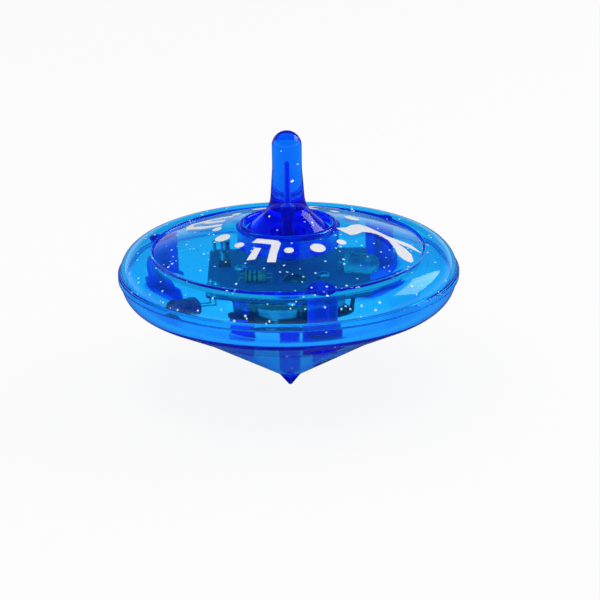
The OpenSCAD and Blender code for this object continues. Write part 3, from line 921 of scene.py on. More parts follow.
class Finishes(Enum):
    """Every finish on the dreidel."""

    # Each clear plastic keeps the default haze, a faint painted glow, unless it sets its own
    SHELL = ClearPlastic(
        "clear_blue_shell", (0.9, 0.98, 1.0), (0.84, 0.96, 1.0), (0.02, 0.89, 0.999), 1100.0
    )
    BOWL = ClearPlastic(
        "deep_blue_shell", (0.86, 0.96, 1.0), (0.8, 0.93, 1.0), (0.02, 0.8, 0.999), 1000.0
    )
    STEM = ClearPlastic(
        "clear_blue_stem", (0.88, 0.97, 1.0), (0.8, 0.94, 1.0), (0.03, 0.84, 0.998), 1400.0, painted_glow=0.015
    )
    TIP = ClearPlastic("clear_blue_tip", (0.8, 0.9, 1.0), (0.7, 0.84, 1.0), (0.02, 0.6, 0.99), 1500.0)
    LAMP_GREEN = ClearPlastic(
        "green_lamp_resin", (0.95, 1.0, 0.98), (0.9, 0.98, 0.95), (0.66, 0.95, 0.8), 50.0, (0.4, 0.55),
        painted_glow=0.0,
    )
    LAMP_RED = ClearPlastic(
        "red_lamp_resin", (1.0, 0.5, 0.7), (0.98, 0.4, 0.6), (0.95, 0.06, 0.5), 420.0, (0.15, 0.3), painted_glow=0.0
    )
    STEEL = PlatedMetal("zinc_plated_steel", (0.72, 0.73, 0.75), (0.5, 0.51, 0.53))
    NICKEL = PlatedMetal("nickel_strip", (0.8, 0.77, 0.7), (0.6, 0.57, 0.5), (0.14, 0.34), (8.0, 1.0, 1.0))
    # Painted shade: near-black straps that stand in for their dark silhouettes against the lit plastic
    STRAP = PlatedMetal(
        "strap_steel_painted_shade", (0.1, 0.1, 0.12), (0.05, 0.05, 0.07), (0.25, 0.45), (8.0, 1.0, 1.0)
    )
    CELL = PlatedMetal("stainless_cell", (0.5, 0.52, 0.58), (0.36, 0.38, 0.44), (0.25, 0.45))
    WIRE = PlatedMetal("tinned_wire", (0.74, 0.73, 0.7), (0.55, 0.54, 0.52), (0.2, 0.45))
    SOLDER = PlatedMetal("solder", (0.72, 0.72, 0.73), (0.5, 0.5, 0.52), (0.15, 0.4), (1.0, 1.0, 1.0))
    # Painted glint: the flakes glow a little, as if catching lamp light from all sides
    FLAKE = MouldedPlastic(
        "silver_flake", (0.98, 0.98, 0.98), (0.93, 0.93, 0.94), (0.15, 0.3), 3000.0, 0.002, painted_glint=0.4
    )
    BOARD = BoardLaminate("blue_masked_board", (0.05, 0.17, 0.42), (0.03, 0.12, 0.32))
    EPOXY = MouldedPlastic("black_resin_drop", (0.03, 0.03, 0.032), (0.015, 0.015, 0.017), (0.16, 0.3), 500.0)
    TRAY = MouldedPlastic("black_tray", (0.035, 0.035, 0.04), (0.02, 0.02, 0.023))
    LEAD_RED = MouldedPlastic("red_insulation", (0.62, 0.05, 0.04), (0.5, 0.03, 0.03), (0.3, 0.5), 700.0)
    LEAD_BLACK = MouldedPlastic("black_insulation", (0.04, 0.04, 0.04), (0.02, 0.02, 0.02), (0.3, 0.5), 700.0)
    INK = MouldedPlastic("white_ink", (0.8, 0.8, 0.84), (0.72, 0.73, 0.79), (0.35, 0.5), 2200.0, 0.008)
    RESISTOR = BandedLacquer(
        "banded_lacquer",
        (0.66, 0.5, 0.31),
        (
            (-10.6, (0.35, 0.12, 0.03)), (-9.4, (0.02, 0.02, 0.02)),
            (-8.2, (0.45, 0.08, 0.02)), (-6.7, (0.6, 0.42, 0.1)),
        ),
        0.55,
        (-11.4, -5.8),
    )


class Paint:
    """Makes each material once and puts it on pieces and solids."""

    made: dict[Finishes, bpy.types.Material] = {}

    @classmethod
    def of(cls, finish: Finishes) -> bpy.types.Material:
        """Give a finish's material.

        Args:
            finish: The finish.

        Returns:
            Its material, made on first use.
        """
        if finish not in cls.made:
            cls.made[finish] = finish.value.material()
        return cls.made[finish]

    @classmethod
    def piece(cls, piece: Piece, finish: Finishes) -> None:
        """Put a finish on a new piece."""
        piece.data.materials.clear()
        piece.data.materials.append(cls.of(finish))

    @classmethod
    def solid(cls, node: str, finish: Finishes) -> None:
        """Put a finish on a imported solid, through its material slots.

        Args:
            node: Name of the solid.
            finish: Its finish.
        """
        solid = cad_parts[node]
        if not solid.material_slots:
            solid.data.materials.append(cls.of(finish))
        for slot in solid.material_slots:
            slot.material = cls.of(finish)
        LOG.info("solid %s: %s", node, finish.value.name)


def settle(piece: Piece, finish: Finishes, slot: str, body: Body, *stands_for: str) -> Piece:
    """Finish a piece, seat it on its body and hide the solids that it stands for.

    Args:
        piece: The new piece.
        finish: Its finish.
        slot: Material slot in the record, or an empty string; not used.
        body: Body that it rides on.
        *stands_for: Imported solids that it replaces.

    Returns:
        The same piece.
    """
    Paint.piece(piece, finish)
    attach(piece, body.value)
    if stands_for:
        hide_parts(*stands_for)
    LOG.info("piece %s: %d faces, %s", piece.name, len(piece.data.polygons), finish.value.name)
    return piece


# Shells


@dataclass
class UpperShell:
    """The domed half: lip, shoulder, groove, panel, collar, well and three screw posts."""

    body_r: float = 45.0
    lip_h: float = 1.6
    wall: float = 1.8
    shoulder: Point = (37.7, 0.85)
    shoulder_r: float = 6.9
    shoulder_from: float = 6.24
    shoulder_to: float = 104.27
    groove: Point = (35.79, 6.937)
    panel_edge: Point = (35.4, 7.237)
    panel_end: Point = (12.942, 13.837)
    panel_bow: float = 0.5
    collar: Point = (12.2, 13.537)
    collar_r: float = 0.8
    collar_from: float = 22.02
    well_r: float = 11.4
    floor_up: float = 9.437
    hole_r: float = 3.48
    boss_r: float = 5.2
    boss_up: float = 5.637
    rebate: Point = (43.48, 1.48)
    post_orbit: float = 34.5
    post_r: float = 3.8
    post_under: float = -3.3
    post_turns: Trio = (-76.2, 43.8, 163.8)
    bore_r: float = 1.3
    bore_top: float = 4.0
    bore_point: Point = (0.3, 0.7)
    crown_from: float = 4.0
    clear_share: float = 0.8
    well_rise: float = 0.3
    corner: float = 0.18
    turns: int = 288

    def outside(self) -> Array:
        """Draw the outside from the lip to the foot of the well.

        Returns:
            Points as rows of radius and height.
        """
        return np.vstack([
            [[self.body_r, 0.0], [self.body_r, self.lip_h]],
            arc(self.shoulder, self.shoulder_r, self.shoulder_from, self.shoulder_to, steps=48),
            [self.groove],
            bowed(self.panel_edge, self.panel_end, -self.panel_bow, steps=36),
            arc(self.collar, self.collar_r, self.collar_from, 180.0, steps=20)[1:],
            [[self.well_r, self.floor_up]],
        ])

    def inside(self) -> Array:
        """Draw the inside from the stem's hole out to the rebate for the lower shell's tongue.

        Returns:
            Points as rows of radius and height.
        """
        run = np.array(self.panel_edge) - np.array(self.panel_end)
        out = np.array([-run[1], run[0]]) / np.linalg.norm(run)
        outer = np.array(self.panel_edge) - self.wall * np.abs(out)
        cup = self.well_r + self.wall
        slope = (self.panel_end[1] - self.panel_edge[1]) / (self.panel_edge[0] - self.panel_end[0])
        inner = (cup, outer[1] + slope * (outer[0] - cup))
        bend_r = self.shoulder_r - self.wall
        last = math.degrees(math.asin((self.rebate[1] - self.shoulder[1]) / bend_r))
        return np.vstack([
            [[self.hole_r, self.floor_up], [self.hole_r, self.boss_up], [self.boss_r, self.boss_up]],
            [[self.boss_r, self.floor_up - self.wall], [cup, self.floor_up - self.wall]],
            bowed(tuple(outer), inner, -self.panel_bow, steps=28)[::-1],
            arc(self.shoulder, bend_r, self.shoulder_to, last, steps=40)[2:],
            [[self.rebate[0], self.rebate[1]], [self.rebate[0], 0.0]],
        ])

    def outline(self) -> Array:
        """Join outside and inside, with the moulded corners eased."""
        return ease(np.vstack([self.outside(), self.inside()]), self.corner)

    def roof(self, reach: Array) -> Array:
        """Give the height of the outside, from the well to the shoulder's end.

        Args:
            reach: Distances from the spin axis.

        Returns:
            A height for each.
        """
        line = self.outside()
        crown = line[(line[:, 0] > self.panel_end[0] - HAIR) & (line[:, 1] > self.crown_from)][::-1]
        return np.interp(reach, crown[:, 0], crown[:, 1])

    def post_top(self, reach: Array) -> Array:
        """Give the height of the posts' tops, half way through the wall of the dome."""
        return self.roof(reach) - self.wall / 2

    def posts(self) -> Surface:
        """Stand the three posts, with their tops inside the wall of the dome.

        Returns:
            The posts as one surface.
        """
        low = level(self.post_under)
        spots = on_orbit(self.post_orbit, self.post_turns)
        return gather([peg(x, y, self.post_r, low, self.post_top) for x, y in spots])

    def bores(self) -> Surface:
        """Shape the screw bores in the posts, with a drilled point.

        Returns:
            The bores as one surface.
        """
        low, top = self.post_under - OVERCUT, self.bore_top
        tip_r, tip_l = self.bore_point
        outline = np.array([
            [0.0, low], [self.bore_r, low], [self.bore_r, top - tip_l], [tip_r, top], [0.0, top]
        ])
        bore = lathe(outline, turns=48, loop=False).moved(self.post_orbit)
        return gather([bore.turned(t) for t in self.post_turns])

    def satin_and_shade_faces(self, places: Array) -> Array:
        """Give the share of satin and painted shade of points on the posts, the well, the boss under it and
        the parting face.

        Args:
            places: Points as rows, with heights from the parting line.

        Returns:
            A share from 0 to 1 for each point.
        """
        reach = np.hypot(places[:, 0], places[:, 1])
        post = near(places, self.post_orbit, self.post_turns, self.post_r + ON_FACE)
        post &= places[:, 2] < self.roof(reach) - self.wall * self.clear_share
        well = (reach < self.well_r + self.wall + ON_FACE) & (places[:, 2] < self.floor_up + self.well_rise)
        parting = (reach > self.rebate[0] - ON_FACE) & (places[:, 2] < ON_FACE)
        # Full share darkens posts and the seam with painted shade, half share the well
        return np.where(post | parting, 1.0, np.where(well, HALF_SATIN_AND_SHADE, 0.0))

    def build(self) -> Piece:
        """Make the piece.

        Returns:
            The piece, seated on its body.
        """
        piece = lathe(self.outline(), self.turns, loop=True).moved(up=PARTING).mesh("upper_shell_clear")
        work(piece, self.posts().moved(up=PARTING), Join.ADD)
        work(piece, self.bores().moved(up=PARTING), Join.CUT)
        smooth(piece)
        satin_and_shade(piece, self.satin_and_shade_faces)
        return settle(piece, Finishes.SHELL, "shell", Body.TOP, "upper_shell")


@dataclass
class LowerShell:
    """The coned half: rounded rim, tongue, two cones, bosses, standoffs, and a pillar with the tip's seat."""

    wall: float = 1.8
    rim: Point = (37.2, -0.2)
    rim_r: float = 7.1
    cone_deg: float = 27.5
    crease: Point = (27.0, -13.515)
    seat: Point = (3.1, -28.0)
    seat_gap: float = 0.04
    cone_from: float = 0.02
    parting_gap: float = 0.22
    tongue: Trio = (42.5, 43.4, 1.4)
    pillar_r: float = 2.8
    pillar_up: float = -11.0
    pillar_bore: Point = (1.0, -17.4)
    tip_bore: Point = (1.48, -21.9)
    boss_orbit: float = 34.5
    boss_r: float = 5.0
    boss_up: float = -3.4
    boss_turns: Trio = (-76.2, 43.8, 163.8)
    web_under: float = -5.2
    counterbore_r: float = 3.5
    screw_bore_r: float = 1.3
    standoff_orbit: float = 13.0
    standoff_r: float = 3.2
    standoff_up: float = -11.0
    neck_r: float = 2.0
    neck_up: float = 0.3
    neck_deep: float = 2.0
    neck_bore: Point = (1.0, -6.7)
    neck_point: Point = (0.3, 0.6)
    root_share: float = 0.6
    inner_share: float = 0.2
    standoff_turns: Trio = (-46.0, 74.0, 194.0)
    corner: float = 0.18
    turns: int = 288

    def outside(self) -> Array:
        """Draw the outside from the tip's seat up to the rim.

        Returns:
            Points as rows of radius and height.
        """
        low = self.seat[1] + self.seat_gap
        top = math.degrees(math.asin((-self.rim[1] - self.parting_gap) / self.rim_r))
        return np.vstack([
            [[self.seat[0], low]],
            along([self.seat, self.crease], np.linspace(self.cone_from, 1, 30)),
            arc(self.rim, self.rim_r, self.cone_deg - 90.0, top, steps=44),
        ])

    def inside(self) -> Array:
        """Draw the inside from the tongue down to the pillar's bore.

        Returns:
            Points as rows of radius and height.
        """
        cone = math.radians(self.cone_deg)
        first = np.array([math.sin(cone), -math.cos(cone)])
        run = np.array(self.crease) - np.array(self.seat)
        second = np.array([run[1], -run[0]]) / np.linalg.norm(run)
        both = first + second
        crease = np.array(self.crease) - both * 2 * self.wall / (both @ both)
        apex = np.array(self.seat) - second * self.wall
        foot = apex + (crease - apex) * (self.pillar_r - apex[0]) / (crease[0] - apex[0])
        inner, outer, tall = self.tongue
        return np.vstack([
            [[outer, -self.parting_gap], [outer, tall], [inner, tall]],
            arc(self.rim, self.rim_r - self.wall, 0.0, self.cone_deg - 90.0, steps=40),
            along([tuple(crease), tuple(foot)], np.linspace(0, 1, 24)),
            [[self.pillar_r, self.pillar_up], [self.pillar_bore[0], self.pillar_up]],
            [[self.pillar_bore[0], self.pillar_bore[1]], [0.0, self.pillar_bore[1]]],
        ])

    def outline(self) -> Array:
        """Join the tip's bore, outside and inside, with the moulded corners eased.

        Returns:
            Points as rows of radius and height.
        """
        r, up = self.tip_bore
        bore = [[0.0, up], [r, up], [r, self.seat[1] + self.seat_gap]]
        return ease(np.vstack([bore, self.outside(), self.inside()]), self.corner)

    def floor(self, reach: Array) -> Array:
        """Give the height of the pegs' roots, a little over half way through the wall."""
        line = self.outside()
        return np.interp(reach, line[:, 0], line[:, 1]) + self.wall * self.root_share

    def pegs(self) -> list[Surface]:
        """Stand the bosses, the standoffs' shoulders, and the necks, which reach down into the shoulders.

        Returns:
            One surface for each of the three sets.
        """
        bosses = on_orbit(self.boss_orbit, self.boss_turns)
        stands = on_orbit(self.standoff_orbit, self.standoff_turns)
        sets = (
            (bosses, self.boss_r, self.floor, self.boss_up),
            (stands, self.standoff_r, self.floor, self.standoff_up),
            (stands, self.neck_r, level(self.standoff_up - self.neck_deep), self.neck_up),
        )
        return [gather([peg(x, y, r, low, level(up)) for x, y in spots]) for spots, r, low, up in sets]

    def bores(self) -> Surface:
        """Shape the counterbores with their screw holes, and the bores in the standoffs.

        Returns:
            The bores as one surface.
        """
        low, web, top = self.seat[1], self.web_under, self.boss_up + OVERCUT
        stepped = np.array([
            [0.0, low], [self.counterbore_r, low], [self.counterbore_r, web], [self.screw_bore_r, web],
            [self.screw_bore_r, top], [0.0, top],
        ])
        (r, deep), (tip_r, tip_l), mouth = self.neck_bore, self.neck_point, self.neck_up + OVERCUT
        blind = np.array([[0.0, deep], [tip_r, deep], [r, deep + tip_l], [r, mouth], [0.0, mouth]])
        wide = lathe(stepped, turns=64, loop=False).moved(self.boss_orbit)
        thin = lathe(blind, turns=40, loop=False).moved(self.standoff_orbit)
        bores = [wide.turned(t) for t in self.boss_turns] + [thin.turned(t) for t in self.standoff_turns]
        return gather(bores)

    def satin_and_shade_faces(self, places: Array) -> Array:
        """Give the share of satin and painted shade of points on the bosses, the standoffs, the pillar and
        the parting face.

        Args:
            places: Points as rows, with heights from the parting line.

        Returns:
            A share from 0 to 1 for each point.
        """
        reach = np.hypot(places[:, 0], places[:, 1])
        pegs = near(places, self.boss_orbit, self.boss_turns, self.boss_r + ON_FACE)
        pegs |= near(places, self.standoff_orbit, self.standoff_turns, self.standoff_r + ON_FACE)
        pegs |= reach < self.pillar_r + ON_FACE
        pegs &= places[:, 2] > self.floor(reach) + self.wall * self.inner_share
        parting = (reach > self.tongue[1] - ON_FACE) & (np.abs(places[:, 2] + self.parting_gap) < ON_FACE)
        # Full share darkens pegs, pillar and the seam with painted shade
        return np.where(parting | pegs, 1.0, 0.0)

    def build(self) -> Piece:
        """Make the piece.

        Returns:
            The piece, seated on its body.
        """
        piece = lathe(self.outline(), self.turns, loop=False).moved(up=PARTING).mesh("lower_shell_clear")
        for pegs in self.pegs():
            work(piece, pegs.moved(up=PARTING), Join.ADD)
        work(piece, self.bores().moved(up=PARTING), Join.CUT)
        smooth(piece)
        satin_and_shade(piece, self.satin_and_shade_faces)
        return settle(piece, Finishes.BOWL, "shell", Body.TOP, "lower_shell")


@dataclass
class FingerStem:
    """The finger grip: rounded top, straight grip, flared foot, plug, spigot and stepped core hole."""

    grip_r: float = 3.9
    top_up: float = 39.0
    grip_l: float = 6.0
    taper: Point = (4.45, 21.5)
    foot: Point = (11.0, 12.237)
    floor_up: float = 9.437
    seat_gap: float = 0.04
    flare_deg: float = 55.0
    flare_edge: float = 4.2
    flare_neck_share: float = 0.55
    spigot: Point = (3.4, 5.737)
    core: Point = (1.35, 18.637)
    core_pin: Point = (0.55, 31.3)
    plug_rise: float = 0.3
    eased: tuple[int, ...] = (1, 2, 3, 4, 5, 7)
    corner: float = 0.15
    turns: int = 160

    def flare(self) -> Array:
        """Draw the flare, (1-t)^3 P + 3 (1-t)^2 t A + 3 (1-t) t^2 B + t^3 Q, from the foot to the taper.

        Returns:
            Points as rows of radius and height.
        """
        slope = math.radians(self.flare_deg)
        foot, top = np.array(self.foot), np.array(self.taper)
        lean = (self.grip_r - top[0]) / (self.top_up - self.grip_r - self.grip_l - top[1])
        out = foot + self.flare_edge * np.array([-math.cos(slope), math.sin(slope)])
        low = top - self.flare_neck_share * (top[1] - foot[1]) * np.array([lean, 1.0])
        t = np.linspace(0, 1, 49)[:, None]
        u = 1 - t
        return u**3 * foot + 3 * u**2 * t * out + 3 * u * t**2 * low + t**3 * top

    def outline(self) -> Array:
        """Draw the whole stem from the top of the core hole, round the outside, to the top.

        Returns:
            Points as rows of radius and height.
        """
        seat, round_up = self.floor_up + self.seat_gap, self.top_up - self.grip_r
        (core_r, core_up), (pin_r, pin_up) = self.core, self.core_pin
        grip = [self.taper, (self.grip_r, round_up - self.grip_l), (self.grip_r, round_up)]
        points = np.vstack([
            [[0.0, pin_up], [pin_r, pin_up - pin_r], [pin_r, core_up + core_r - pin_r], [core_r, core_up]],
            [[core_r, self.spigot[1]], self.spigot, [self.spigot[0], seat], [self.foot[0], seat]],
            self.flare(),
            along(grip, np.linspace(0, 1, 40))[1:-1],
            arc((0.0, round_up), self.grip_r, 0.0, 90.0, steps=28),
        ])
        reach = np.zeros(len(points))
        reach[list(self.eased)] = self.corner
        return soften(points, reach)

    def satin_and_shade_faces(self, places: Array) -> Array:
        """Give the share of satin and painted shade of points in the core hole and on the plug and spigot.

        Args:
            places: Points as rows, with heights from the parting line.

        Returns:
            A share from 0 to 1 for each point.
        """
        reach = np.hypot(places[:, 0], places[:, 1])
        core = (reach < self.core[0] + ON_FACE) & (places[:, 2] < self.core_pin[1] + ON_FACE)
        plug = places[:, 2] < self.floor_up + self.plug_rise
        # Painted shade darkens the core hole fully, the plug and spigot by half
        return np.where(core, 1.0, np.where(plug, HALF_SATIN_AND_SHADE, 0.0))

    def build(self) -> Piece:
        """Make the piece.

        Returns:
            The piece, seated on its body.
        """
        piece = lathe(self.outline(), self.turns, loop=False).moved(up=PARTING).mesh("finger_stem_clear")
        smooth(piece)
        satin_and_shade(piece, self.satin_and_shade_faces)
        return settle(piece, Finishes.STEM, "stem", Body.TOP, "finger_stem")


@dataclass
class SpinningTip:
    """The hard tip with its rounded end, shoulder and spigot."""

    shoulder: Point = (3.1, 3.5)
    end_r: float = 0.7
    spigot: Point = (1.4, 9.0)
    eased: tuple[int, ...] = (-4, -2)
    corner: float = 0.15
    turns: int = 96

    def build(self) -> Piece:
        """Turn the tip, with its end tangent to its cone.

        Returns:
            The piece, seated on its body.
        """
        (wide, up), (spigot_r, top) = self.shoulder, self.spigot
        away = math.acos(self.end_r / math.hypot(wide, up - self.end_r))
        touch = math.degrees(math.atan2(up - self.end_r, wide) - away)
        points = np.vstack([
            arc((0.0, self.end_r), self.end_r, -90.0, touch, steps=14),
            [[wide, up], [spigot_r, up], [spigot_r, top], [0.0, top]],
        ])
        points[0, 0] = 0.0
        reach = np.zeros(len(points))
        reach[list(self.eased)] = self.corner
        piece = lathe(soften(points, reach), self.turns, loop=False).mesh("spinning_tip_clear")
        smooth(piece)
        return settle(piece, Finishes.TIP, "tip", Body.TOP, "spinning_tip")


@dataclass
class Glitter:
    """Silver flakes moulded into the clear plastic, just under its outside."""

    upper: UpperShell
    lower: LowerShell
    stem: FingerStem
    size: Span = (0.18, 0.38)
    thick: float = 0.03
    cover: Span = (0.04, 0.12)
    tilt: float = 18.0
    most_tilt: float = 35.0
    corners: int = 6
    askew: Trio = (0.123, 0.456, 0.881)
    dome_from: float = 1.7
    bowl_rows: tuple[int, int] = (3, -2)
    flare_from: int = 8
    scatter: dict[str, tuple[int, int]] = field(default_factory=lambda: {
        "upper": (330, 11), "lower": (110, 23), "stem": (20, 37),
    })

    def flakes(self, line: Array, count: int, seed: int) -> Surface:
        """Scatter hexagonal flakes along a turned line, evenly over its area.

        A flake is C + s (u cos a + v sin a) +- n h / 2 for its corners a, with n near the surface's normal.

        Args:
            line: Outside of the plastic, with the solid on its left.
            count: Number of flakes.
            seed: Start of the scatter.

        Returns:
            All the flakes as one surface.
        """
        pick = np.random.default_rng(seed)
        step = np.diff(line, axis=0)
        length = np.linalg.norm(step, axis=1)
        area = np.concatenate([[0.0], np.cumsum(length * (line[1:, 0] + line[:-1, 0]))])
        where = np.interp(pick.random(count) * area[-1], area, np.arange(len(line)))
        k = np.minimum(where.astype(int), len(step) - 1)
        base = line[k] + (where - k)[:, None] * step[k]
        out = np.column_stack([step[k, 1], -step[k, 0]]) / length[k, None]
        size = pick.uniform(*self.size, count)
        tilt = pick.normal(0, self.tilt, (count, 2)).clip(-self.most_tilt, self.most_tilt)
        lean = np.tan(np.radians(tilt))
        steep = np.linalg.norm(lean, axis=1)
        deep = size * steep / np.hypot(1, steep) + pick.uniform(*self.cover, count)
        base = base - out * deep[:, None]
        a = pick.uniform(0, 2 * np.pi, count)
        c, s = np.cos(a), np.sin(a)
        centre = np.column_stack([base[:, 0] * c, base[:, 0] * s, base[:, 1]])
        across = np.column_stack([-s, c, np.zeros(count)])
        normal = np.column_stack([out[:, 0] * c, out[:, 0] * s, out[:, 1]])
        normal = normal + lean[:, :1] * across + lean[:, 1:] * np.cross(normal, across)
        normal /= np.linalg.norm(normal, axis=1, keepdims=True)
        u = np.cross(normal, self.askew)
        u /= np.linalg.norm(u, axis=1, keepdims=True)
        v = np.cross(normal, u)
        n = self.corners
        hexagon = np.arange(n)
        turn = (hexagon * np.pi / (n / 2))[None, :, None]
        spoke = u[:, None] * np.cos(turn) + v[:, None] * np.sin(turn)
        rim = centre[:, None] + size[:, None, None] * spoke
        half = normal[:, None] * self.thick / 2
        points = np.concatenate([rim + half, rim - half], axis=1).reshape(-1, 3)
        start = (np.arange(count) * 2 * n)[:, None]
        after = (hexagon + 1) % n
        sides = np.column_stack([hexagon, hexagon + n, after + n, after])
        walls = (start[:, None] + sides).reshape(-1, 4)
        return Surface(points, [start + hexagon, start + (2 * n - 1 - hexagon), walls])

    def build(self) -> list[Piece]:
        """Scatter the flakes in both shells and the stem.

        Returns:
            The pieces, one for each moulding.
        """
        dome, stem = self.upper.outside(), self.stem
        lines = {
            "upper": dome[(dome[:, 1] > self.dome_from) & (dome[:, 0] > self.upper.panel_end[0])],
            "lower": self.lower.outside()[slice(*self.bowl_rows)],
            "stem": np.vstack([stem.flare()[self.flare_from:], [[stem.grip_r, stem.top_up - stem.grip_r]]]),
        }
        pieces = []
        for name, line in lines.items():
            piece = self.flakes(line, *self.scatter[name]).moved(up=PARTING).mesh(f"glitter_{name}")
            pieces.append(settle(piece, Finishes.FLAKE, "", Body.TOP))
        return pieces


class Mark(Enum):
    """The four game letters, as strokes between a left and a right edge, across and down in millimetres."""

    HEI = (
        (((-3.2, 0.0), (2.6, 0.0), (3.7, 0.9)), ((-3.9, 2.1), (1.6, 2.1), (3.7, 2.6))),
        (((1.5, 1.6), (2.4, 6.0), (3.3, 10.0)), ((3.7, 0.9), (4.6, 6.0), (5.5, 9.4))),
        (((-2.2, 4.4), (-2.2, 10.2)), ((-0.4, 4.4), (-0.1, 9.4))),
    )
    GIMEL = (
        (
            (
                (0.1, 0.2), (-0.6, 2.2), (-1.2, 4.5), (0.6, 5.4),
                (4.0, 6.1), (5.9, 8.4), (5.8, 10.3), (4.5, 13.3),
            ),
            (
                (0.4, 0.0), (2.8, 1.8), (6.4, 2.2), (8.7, 3.3),
                (9.1, 4.7), (8.3, 8.2), (7.5, 11.6), (7.6, 14.1),
            ),
        ),
        (
            ((4.6, 12.8), (1.2, 15.8), (-1.6, 17.4), (-2.9, 19.6), (-2.7, 21.3)),
            ((6.4, 13.6), (5.2, 15.0), (3.8, 18.0), (1.9, 20.1), (-1.2, 21.6)),
        ),
        (
            ((5.0, 13.0), (5.3, 14.9), (5.7, 17.4), (5.9, 21.3)),
            ((7.5, 12.6), (7.7, 14.1), (8.3, 17.6), (6.2, 21.4)),
        ),
    )
    NUN = (
        (((-1.8, 0.0), (1.6, 0.0), (2.7, 1.2)), ((-2.3, 2.2), (0.6, 2.3), (1.9, 3.2))),
        (((0.6, 1.4), (0.7, 8.0), (0.5, 13.0)), ((2.7, 1.2), (2.9, 8.0), (2.8, 13.8))),
        (((-3.6, 11.6), (-1.0, 11.8), (2.6, 11.7)), ((-3.9, 13.8), (-1.0, 14.0), (2.8, 13.9))),
    )
    SHIN = (
        (
            ((3.0, 0.2), (2.9, 5.0), (1.0, 9.6), (-1.7, 10.6)),
            ((4.7, 0.2), (4.7, 5.6), (2.2, 11.2), (-2.0, 12.6)),
        ),
        (((-0.8, 0.8), (-1.1, 4.6), (-2.9, 7.4)), ((0.9, 0.8), (0.5, 5.4), (-2.4, 9.0))),
        (((-4.9, 0.2), (-4.7, 6.0), (-3.7, 12.2)), ((-3.2, 0.2), (-3.0, 6.0), (-1.9, 12.4))),
    )


@dataclass
class PanelPrint:
    """The white print on the panel: four letters and the dots between them."""

    ground: Height
    marks: tuple[tuple[Mark, float, float], ...] = (
        (Mark.HEI, -21.0, 13.9), (Mark.GIMEL, 69.0, 13.4),
        (Mark.NUN, 159.0, 15.0), (Mark.SHIN, -111.0, 17.0),
    )
    dot_turns: tuple[float, ...] = (24.0, 114.0, -156.0, -66.0)
    dot_orbit: float = 18.6
    dot_step: float = 23.5
    dots: Trio = (1.25, 2.0, 1.25)
    lift: float = 0.015
    thick: float = 0.05
    over: float = 0.006
    steps: tuple[int, int] = (25, 7)
    crease: float = 40.0

    def stroke(self, edges: Sequence[Sequence[Point]], turn: float, start: float, order: int) -> Surface:
        """Lay one stroke on the panel, P(s, t) = (1 - t) L(s) + t R(s) turned to its place.

        Args:
            edges: Left and right edge, across and down from the letter's top.
            turn: Angle from the front, in degrees.
            start: Distance of the letter's top from the spin axis.
            order: Number of the stroke, which lies a little over the last.

        Returns:
            The stroke as a thin closed slab.
        """
        s, t = (np.linspace(0, 1, n) for n in self.steps)
        t = t[None, :, None]
        left, right = (along(edge, s)[:, None] for edge in edges)
        flat = (1 - t) * left + t * right
        a = math.radians(turn)
        out, side = np.array([math.sin(a), -math.cos(a)]), np.array([math.cos(a), math.sin(a)])
        places = flat[..., :1] * side + (start + flat[..., 1:]) * out
        return slab(places, self.ground, self.lift, self.thick + self.over * order)

    def build(self) -> list[Piece]:
        """Print the letters and dots.

        Returns:
            The pieces, one for each letter and one for the dots.
        """
        pieces = []
        for mark, turn, start in self.marks:
            strokes = [self.stroke(edges, turn, start, i) for i, edges in enumerate(mark.value)]
            pieces.append(gather(strokes).moved(up=PARTING).mesh(f"letter_{mark.name.lower()}"))
        turns = [turn + (i - 1) * self.dot_step for turn in self.dot_turns for i in range(len(self.dots))]
        spots = on_orbit(self.dot_orbit, np.array(turns) - 90.0)
        radii = self.dots * len(self.dot_turns)
        rounds = [disc(x, y, r, self.ground, self.lift, self.thick) for (x, y), r in zip(spots, radii)]
        pieces.append(gather(rounds).moved(up=PARTING).mesh("panel_dots"))
        for piece in pieces:
            face_out(piece)
            smooth(piece, self.crease)
            settle(piece, Finishes.INK, "", Body.TOP)
        return pieces


# Works


